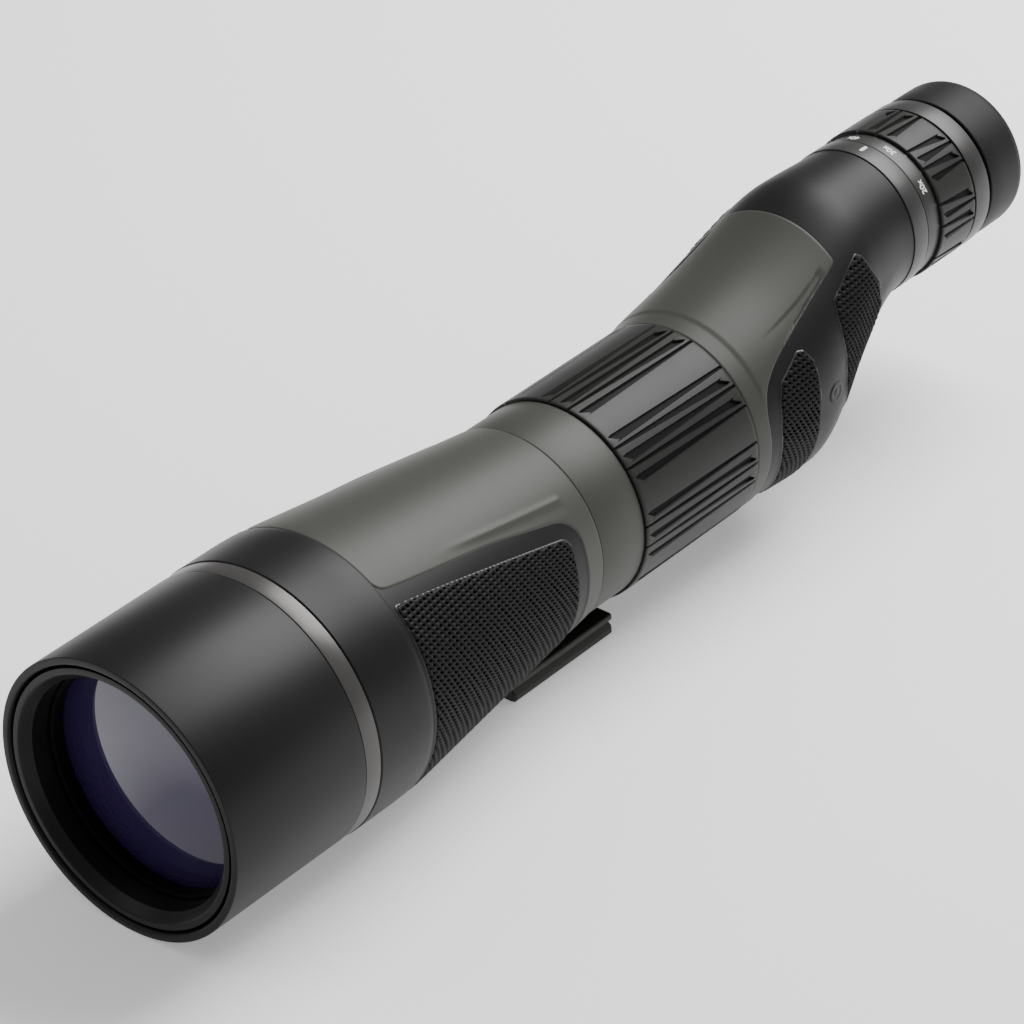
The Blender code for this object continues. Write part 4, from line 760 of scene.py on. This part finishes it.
def make_front():
    front, rear = span("sunshade")
    radius = outer_radius("sunshade")
    bore = radius - 3.2
    rear_lip_bore = 47.7
    outline = [(front, bore + 0.6), (front + 1.2, bore), (rear - 2.5, bore), (rear - 2.5, rear_lip_bore),
               (rear, rear_lip_bore), (rear, radius), (front, radius)]
    turned("sunshade_shell", outline, "black_satin", "sunshade", ("sunshade",), radius=0.55)
    front, rear = span("name_band")
    outline = [(front, 47.6), (rear, 47.6), (rear, 51.45), (front, 51.15)]
    turned("name_band_ring", outline, "band_metal", "scope_tube", ("name_band",), radius=0.25)
    front, rear = span("objective_bezel")
    outline = [(front, 45.2), (front + 0.5, 44.6), (front + 3.2, 42.5), (front + 3.6, 42.1), (rear, 42.1),
               (rear, 43.8), (front + 5.0, 43.8), (front + 5.0, 47.3), (front, 47.3)]
    turned("objective_bezel_ring", outline, "black_satin", "scope_tube", ("objective_bezel",),
           radius=0.25)
    front, rear = span("objective_retaining_ring")
    outline = [(front, 41.2), (front + 0.4, 40.8), (rear, 40.8), (rear, 42.3), (front, 42.3)]
    turned("retaining_ring_fine", outline, "inner_black", "scope_tube",
           ("objective_retaining_ring",), radius=0.1)
    front, rear = span("objective_seal")
    turned("objective_seal_fine", tube(front, rear, 41.1, 42.3), "inner_black", "scope_tube",
           ("objective_seal",), radius=0.1)
    make_front_lens()
    front, rear = span("front_tube")
    radius = outer_radius("front_tube")
    turned("front_tube_fine", tube(front, rear, radius - 3.2, radius), "black_satin", "scope_tube",
           ("front_tube",), radius=0.1)


def make_front_lens():
    front, rear = span("objective_lens_front")
    radius = outer_radius("objective_lens_front")
    bulge = 3.6
    steps = 24
    profile = [(front + bulge * (step / steps) ** 2, radius * step / steps) for step in range(steps + 1)]
    back = front + bulge + 4.0
    profile += [(back, radius), (back, 0.0)]
    disc("front_lens_fine", profile, "glass", "scope_tube", ("objective_lens_front",), MAIN_AXIS,
         160)


# Ribbed grips

GROOVE_WALL = 0.4
END_SLOPE = 0.5
COLUMN_STEP = 1.2
LAND_STEPS = 16
MIDDLE_ROWS = 24
LIP_DROP = 0.4
LIP_LENGTH = 0.5
BACKING = 0.9  # rubber left under the grooves


def end_rows(slant):
    """Distances from a grip's end, one row per column's slant, so that a groove's slanting end is crisp."""
    lip = [0 * slant, 0 * slant + 0.2, 0 * slant + LIP_LENGTH]
    slope = [slant, slant + END_SLOPE / 2, slant + END_SLOPE]
    return np.stack(lip + [(LIP_LENGTH + slant) / 2] + slope + [slant + END_SLOPE + 0.8])


def ribbed_ring(name, node, units, phase, front_widths, rear_widths, depth, slants, body, height):
    """A rubber grip with groups of tapering grooves between flat lands.

    The widths are in degrees, and take turns as groove and ridge: the first groove is wide at the front,
    the next at the rear. A wide end closes on a slant, whose two distances from the grip's end are the
    slants, and a narrow end runs out of the grip.
    """
    front, rear = span(node)
    radius = outer_radius(node)
    length = rear - front
    to_degrees = math.degrees(1 / radius)
    columns = []
    start = phase - sum(front_widths) / 2
    finish = phase - sum(rear_widths) / 2
    for index, (wide, narrow) in enumerate(zip(front_widths, rear_widths)):
        kind = 0 if index % 2 else (1 if index % 4 == 0 else -1)
        wall = GROOVE_WALL * to_degrees
        steps = max(2, round(max(wide, narrow) / to_degrees / COLUMN_STEP))
        for step in range(steps + 1):
            share = step / steps
            first = start + wall + (wide - 2 * wall) * share if kind else start + wide * share
            last = finish + wall + (narrow - 2 * wall) * share if kind else finish + narrow * share
            columns.append((first, last, kind, share))
        start += wide
        finish += narrow
    unit = 360.0 / units
    first_column, last_column = columns[0], columns[-1]
    gap_front = first_column[0] + unit - last_column[0]
    gap_rear = first_column[1] + unit - last_column[1]
    wall_share = GROOVE_WALL * to_degrees / gap_front
    for step in range(LAND_STEPS + 1):
        share = wall_share + (1 - 2 * wall_share) * step / LAND_STEPS
        columns.append((last_column[0] + gap_front * share, last_column[1] + gap_rear * share, 0, share))
    columns = np.array([(a + unit * turn, b + unit * turn, kind, share)
                        for turn in range(units) for a, b, kind, share in columns])
    across = columns[:, 3]
    kind = columns[:, 2]
    level = sum(slants) / 2
    slant = slants[0] + (slants[1] - slants[0]) * np.where(kind > 0, 1 - across, across)
    front_slant = np.where(kind > 0, slant, level)
    rear_slant = np.where(kind < 0, slant, level)
    first_rows = end_rows(front_slant)
    last_rows = (length - end_rows(rear_slant))[::-1]
    shares = np.linspace(0.0, 1.0, MIDDLE_ROWS + 2)[1:-1, None]
    along = np.concatenate([first_rows, first_rows[-1] + (last_rows[0] - first_rows[-1]) * shares, last_rows])
    turn = np.radians(columns[:, 0] + (columns[:, 1] - columns[:, 0]) * along / length)
    open_share = np.where(kind > 0, along - front_slant, length - rear_slant - along) / END_SLOPE
    sunk = np.where(kind == 0, 0.0, np.clip(open_share, 0, 1))
    rise = -depth * sunk
    ends = np.minimum(along, length - along)
    rise = rise - LIP_DROP * (1 - np.clip(ends / LIP_LENGTH, 0, 1)) ** 2
    place = front + along
    distance = radius + rise
    top = np.stack([distance * np.cos(turn), place, distance * np.sin(turn) + height], axis=-1)
    inner = radius - depth - BACKING
    under = np.stack([inner * np.cos(turn), place, inner * np.sin(turn) + height], axis=-1)
    everywhere = np.ones(place.shape, bool)
    # Cells deep in a groove take a darker look: painted shade on the groove floors.
    closed_sheet(name, top, under, everywhere, "focus_rubber", body, (node,),
                 close_columns=True, sharp=30.0, deep=(sunk > 0.9, "groove_painted_shade"))


def make_mount():
    front, rear = span("mount_collar")
    turned("collar_ring", tube(front, rear, 34.4, COLLAR_RADIUS), "grey_paint", "mount",
           ("mount_collar",), radius=0.4)
    low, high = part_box("foot_plate")
    top = high.z / MM
    make_block("collar_pedestal", (-12.0, front + 0.3, top + GAP), (12.0, rear - 0.3, MAIN_AXIS - 35.8), 1.0,
               "foot_metal", "mount")
    make_foot(low / MM, high / MM)
    make_lock()


def make_block(name, low, high, bevel, look, body, replaced=()):
    """A machined block with rounded upright edges."""
    outline = [(low[0], low[1]), (high[0], low[1]), (high[0], high[1]), (low[0], high[1])]
    outline = rounded(outline, bevel, 4)
    count = len(outline)
    points = [(x, y, z) for z in (low[2], high[2]) for x, y in outline]
    faces = [[i, (i + 1) % count, count + (i + 1) % count, count + i] for i in range(count)]
    faces += [list(range(count))[::-1], list(range(count, 2 * count))]
    add_piece(name, points, faces, look, body, replaced)


def make_foot(low, high):
    """The dovetail foot: grooved sides, chamfered ends."""
    half = (high.x - low.x) / 2
    top = high.z
    side = [(half - 1.0, 0.0), (half, 1.0), (half, 3.3), (half - 1.6, 4.6), (half - 1.6, 5.4), (half, 6.7),
            (half, top - 0.5), (half - 0.5, top)]
    outline = side + [(-x, z) for x, z in side[::-1]]
    outline = rounded(outline, 0.25, 2)
    count = len(outline)
    middle_z = top / 2
    rows = ((low.y, 0.8), (low.y + 0.8, 0.0), (high.y - 0.8, 0.0), (high.y, 0.8))
    points = []
    for y, inset in rows:
        for x, z in outline:
            shrink = 1 - inset / half
            points.append((x * shrink, y, middle_z + (z - middle_z) * (1 - inset / middle_z * 0.6)))
    faces = [list(cell) for cell in grid_faces(len(rows), count, False, True)]
    faces += [list(range(count))[::-1], list(range((len(rows) - 1) * count, len(rows) * count))]
    add_piece("dovetail_foot", points, faces, "foot_metal", "mount", ("foot_plate",))


def make_lock():
    """The lock's scalloped knob, turned about its own axis, and the boss that it seats on."""
    low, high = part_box("lock_knob")
    turn = math.radians(205.0)
    out = Vector((math.cos(turn), 0.0, math.sin(turn)))
    side = Vector((0.0, 1.0, 0.0))
    up = out.cross(side)
    middle_y = (low.y + high.y) / 2 / MM
    axis = Vector((0.0, middle_y, MAIN_AXIS))

    def lathe(name, profile, scallops, depth, look, body, replaced=()):
        segments = 144
        rows = len(profile)
        points = []
        for distance, radius in profile[1:-1]:
            for index in range(segments):
                angle = math.tau * index / segments
                wave = max(0.0, math.cos(scallops * angle)) ** 2 if scallops else 0.0
                reach = radius - depth * wave * min(1.0, max(0.0, (radius - 7.5)))
                points.append(axis + out * distance + (side * math.cos(angle) + up * math.sin(angle)) * reach)
        points += [axis + out * profile[0][0], axis + out * profile[-1][0]]
        faces = [list(cell) for cell in grid_faces(rows - 2, segments, False, True)]
        end_caps(faces, rows - 2, segments)
        add_piece(name, [tuple(point) for point in points], faces, look, body, replaced)

    knob = [(41.3, 0.0), (41.3, 5.0), (41.6, 8.2), (42.4, 9.0), (43.4, 9.1), (51.6, 8.7), (52.8, 8.2),
            (53.6, 7.0), (53.8, 5.6), (53.4, 4.6), (53.3, 0.0)]
    lathe("collar_lock_knob", knob, 16, 0.7, "grip_rubber", "lock_knob", ("lock_knob",))
    boss = [(37.5, 0.0), (37.5, 6.5), (40.6, 6.5), (41.0, 6.1), (41.0, 0.0)]
    lathe("collar_lock_boss", boss, 0, 0.0, "grey_paint", "mount")


# Eyepiece

SCALE_RADIUS = 29.0


def make_eyepiece():
    radius = outer_radius("index_ring")
    front, rear = span("index_ring")
    outline = tube(front, rear - 0.5, EYE_BORE, radius)
    turned("index_ring_fine", outline, "warm_metal", "scope_tube", ("index_ring",),
           height=EYE_AXIS)
    outline = tube(rear - 0.7, rear + 0.1, 26.0, radius - 0.2)
    turned("index_gap_ring", outline, "inner_black", "scope_tube", height=EYE_AXIS, radius=0.1)
    front, rear = span("eyepiece_rear_ring")
    outline = tube(front + 0.5, rear - 0.9, EYE_BORE, 30.2)
    turned("rear_ring_fine", outline, "warm_metal", "scope_tube", ("eyepiece_rear_ring",),
           height=EYE_AXIS, radius=0.4)
    front, rear = span("zoom_ring")
    scale_rear = front + 7.6
    outline = [(front, 26.5), (rear, 26.5), (rear, 28.0), (scale_rear, 28.0), (scale_rear, SCALE_RADIUS),
               (front, SCALE_RADIUS)]
    turned("zoom_scale_ring", outline, "warm_metal", "zoom_ring", ("zoom_ring",),
           height=EYE_AXIS)
    ribbed_ring("zoom_grip_ribs", "zoom_grip", 8, 49.0, (7.0, 5.5, 2.5, 1.8, 7.0, 5.5, 2.5),
                (2.4, 1.8, 6.5, 5.0, 2.4, 1.8, 6.5), 1.0, (0.9, 3.4), "zoom_ring", EYE_AXIS)
    make_scale(front + 3.9)
    make_eyecup()


def wrap_marks(name, mesh, middle_y, angle, radius, body):
    """A flat mesh in millimetres, its top towards the front, wrapped onto the eyepiece as a thin layer."""
    points = np.array([vert.co for vert in mesh.vertices], float)
    turn = math.radians(angle) + points[:, 0] / radius
    faces = [list(polygon.vertices) for polygon in mesh.polygons]
    layers = []
    place = middle_y - points[:, 1]
    for rise in (0.06, -0.1):
        distance = radius + rise
        layers.append(np.stack([distance * np.cos(turn), place, distance * np.sin(turn) + EYE_AXIS], -1))
    count = len(points)
    edges = {}
    for face in faces:
        for first, second in zip(face, face[1:] + face[:1]):
            edges[(first, second)] = True
    walls = [[a, b, b + count, a + count][::-1] for a, b in edges if (b, a) not in edges]
    both = faces + [[i + count for i in face[::-1]] for face in faces] + walls
    add_piece(name, np.concatenate(layers), both, "paint_white", body)


def text_mesh(words, size):
    curve = bpy.data.curves.new("words", "FONT")
    curve.body = words
    curve.size = size
    curve.align_x = "CENTER"
    curve.align_y = "CENTER"
    curve.resolution_u = 4
    curve.offset = 0.08
    holder = bpy.data.objects.new("words", curve)
    bpy.context.scene.collection.objects.link(holder)
    bpy.context.view_layer.update()
    graph = bpy.context.evaluated_depsgraph_get()
    mesh = bpy.data.meshes.new_from_object(holder.evaluated_get(graph))
    bpy.data.objects.remove(holder)
    return mesh


def flat_mesh(outline):
    mesh = bpy.data.meshes.new("mark")
    mesh.from_pydata([(x, y, 0.0) for x, y in outline], [], [list(range(len(outline)))])
    return mesh


def make_scale(middle_y):
    """Magnification figures round the zoom ring, and the fixed tick beside them."""
    figures = (("20x", 36.9), ("30x", 73.7), ("40x", 106.5), ("50x", 134.5), ("60x", 161.0))
    figure_height = 3.6
    for words, angle in figures:
        mesh = text_mesh(words, figure_height)
        wrap_marks("figure_" + words, mesh, middle_y, angle, SCALE_RADIUS, "zoom_ring")
    tick = rounded([(-0.75, -1.9), (0.75, -1.9), (0.75, 1.9), (-0.75, 1.9)], 0.6, 3)
    tick_y = span("index_ring")[1] - 3.6
    tick_angle = 86.5
    wrap_marks("index_tick", flat_mesh(tick), tick_y, tick_angle, outer_radius("index_ring"), "scope_tube")


def make_eyecup():
    front, rear = span("eyecup_rubber")
    outline = [(front + 1.1, 27.1), (rear - 2.3, 27.1), (rear - 2.3, 22.4), (rear - 1.8, 21.0),
               (rear - 0.6, 20.6), (rear, 21.6), (rear, 26.0), (rear - 0.5, 28.0), (rear - 1.8, 29.2),
               (rear - 4.0, 29.7), (front + 8.0, 29.8), (front + 1.1, 29.6)]
    # A near-black ring on the eyecup's front face, in the gap behind the rear ring: painted shade in that
    # gap.
    shade = tube(front + 0.9, front + 1.4, 27.2, 29.2)
    turned("eyecup_front_painted_shade", shade, "inner_black", "eyecup", height=EYE_AXIS, radius=0.1)
    turned("eyecup_fine", outline, "eyecup", "eyecup", ("eyecup_rubber",), height=EYE_AXIS,
           radius=0.7)
    front, rear = span("eye_lens")
    steps = 16
    radius = 19.8
    bulge = 2.2
    back = [(rear - bulge * (step / steps) ** 2, radius * step / steps) for step in range(steps + 1)]
    profile = [(front, 0.0), (front + 0.8, radius)] + back[::-1]
    disc("eye_lens_fine", profile, "glass", "scope_tube", ("eye_lens",), EYE_AXIS, 96)


def make_focus():
    ribbed_ring("focus_grip_ribs", "focus_grip", 8, 43.0, (5.4, 4.0, 1.6, 1.2, 5.5, 4.0, 1.6, 1.2, 5.5),
                (1.8, 1.2, 5.0, 4.0, 1.8, 1.2, 5.0, 4.0, 1.8), 1.1, (1.2, 5.0), "focus_ring", MAIN_AXIS)


def finish_inner_nodes():
    """Gives every CAD node that stays its own finish."""
    slots = {row["node"]: row["material_slot"] for row in frame["record"]["subparts"]}
    for node, thing in frame["nodes"].items():
        thing.data.materials.clear()
        thing.data.materials.append(LOOKS[slots[node]])
        thing.data.shade_smooth()
        thing.data.set_sharp_from_angle(angle=math.radians(30))


# Room, light and camera


def make_room():
    mesh = bpy.data.meshes.new("floor")
    size = 6.0
    corners = [(-size, -size, 0), (size, -size, 0), (size, size, 0), (-size, size, 0)]
    mesh.from_pydata(corners, [], [[0, 1, 2, 3]])
    floor = bpy.data.objects.new("floor", mesh)
    bpy.context.scene.collection.objects.link(floor)
    made, _, shader = shader_nodes("pale_floor")
    shader.inputs["Base Color"].default_value = (0.95, 0.95, 0.95, 1.0)
    shader.inputs["Roughness"].default_value = 0.9
    shader.inputs["Emission Color"].default_value = (1.0, 1.0, 1.0, 1.0)
    shader.inputs["Emission Strength"].default_value = 0.3
    mesh.materials.append(made)
    world = bpy.data.worlds.new("studio")
    world.use_nodes = True
    world.node_tree.nodes["Background"].inputs["Color"].default_value = (1.0, 1.0, 1.0, 1.0)
    world.node_tree.nodes["Background"].inputs["Strength"].default_value = 0.36
    bpy.context.scene.world = world


def add_light(name, place, target, size, power):
    data = bpy.data.lights.new(name, "AREA")
    data.shape = "RECTANGLE"
    data.size, data.size_y = size
    data.energy = power
    made = bpy.data.objects.new(name, data)
    made.location = place
    way = Vector(target) - Vector(place)
    made.rotation_euler = way.to_track_quat("-Z", "Y").to_euler()
    bpy.context.scene.collection.objects.link(made)


def make_lights():
    middle = (0.0, 0.03, 0.06)
    add_light("key_softbox", (0.15, 1.05, 1.35), middle, (1.3, 1.1), 52.0)
    add_light("front_softbox", (-0.9, -1.0, 1.1), middle, (0.8, 0.8), 3.0)


def make_camera():
    data = bpy.data.cameras.new("camera")
    data.sensor_width = 36.0
    data.lens = 153.72
    data.clip_end = 50.0
    camera = bpy.data.objects.new("camera", data)
    right = Vector((0.772454, 0.634630, -0.023660))
    up = Vector((-0.327828, 0.430378, 0.841014))
    back = Vector((0.543915, -0.641888, 0.540496))
    turn = Matrix((right, up, back)).transposed().to_4x4()
    place = (0.8226225, -0.9746938, 0.8775126)
    camera.matrix_world = Matrix.Translation(place) @ turn
    bpy.context.scene.collection.objects.link(camera)
    bpy.context.scene.camera = camera


make_camera()
finish_inner_nodes()
make_front()
make_barrel()
make_mount()
make_focus()
make_housing()
make_eyepiece()
make_room()
make_lights()
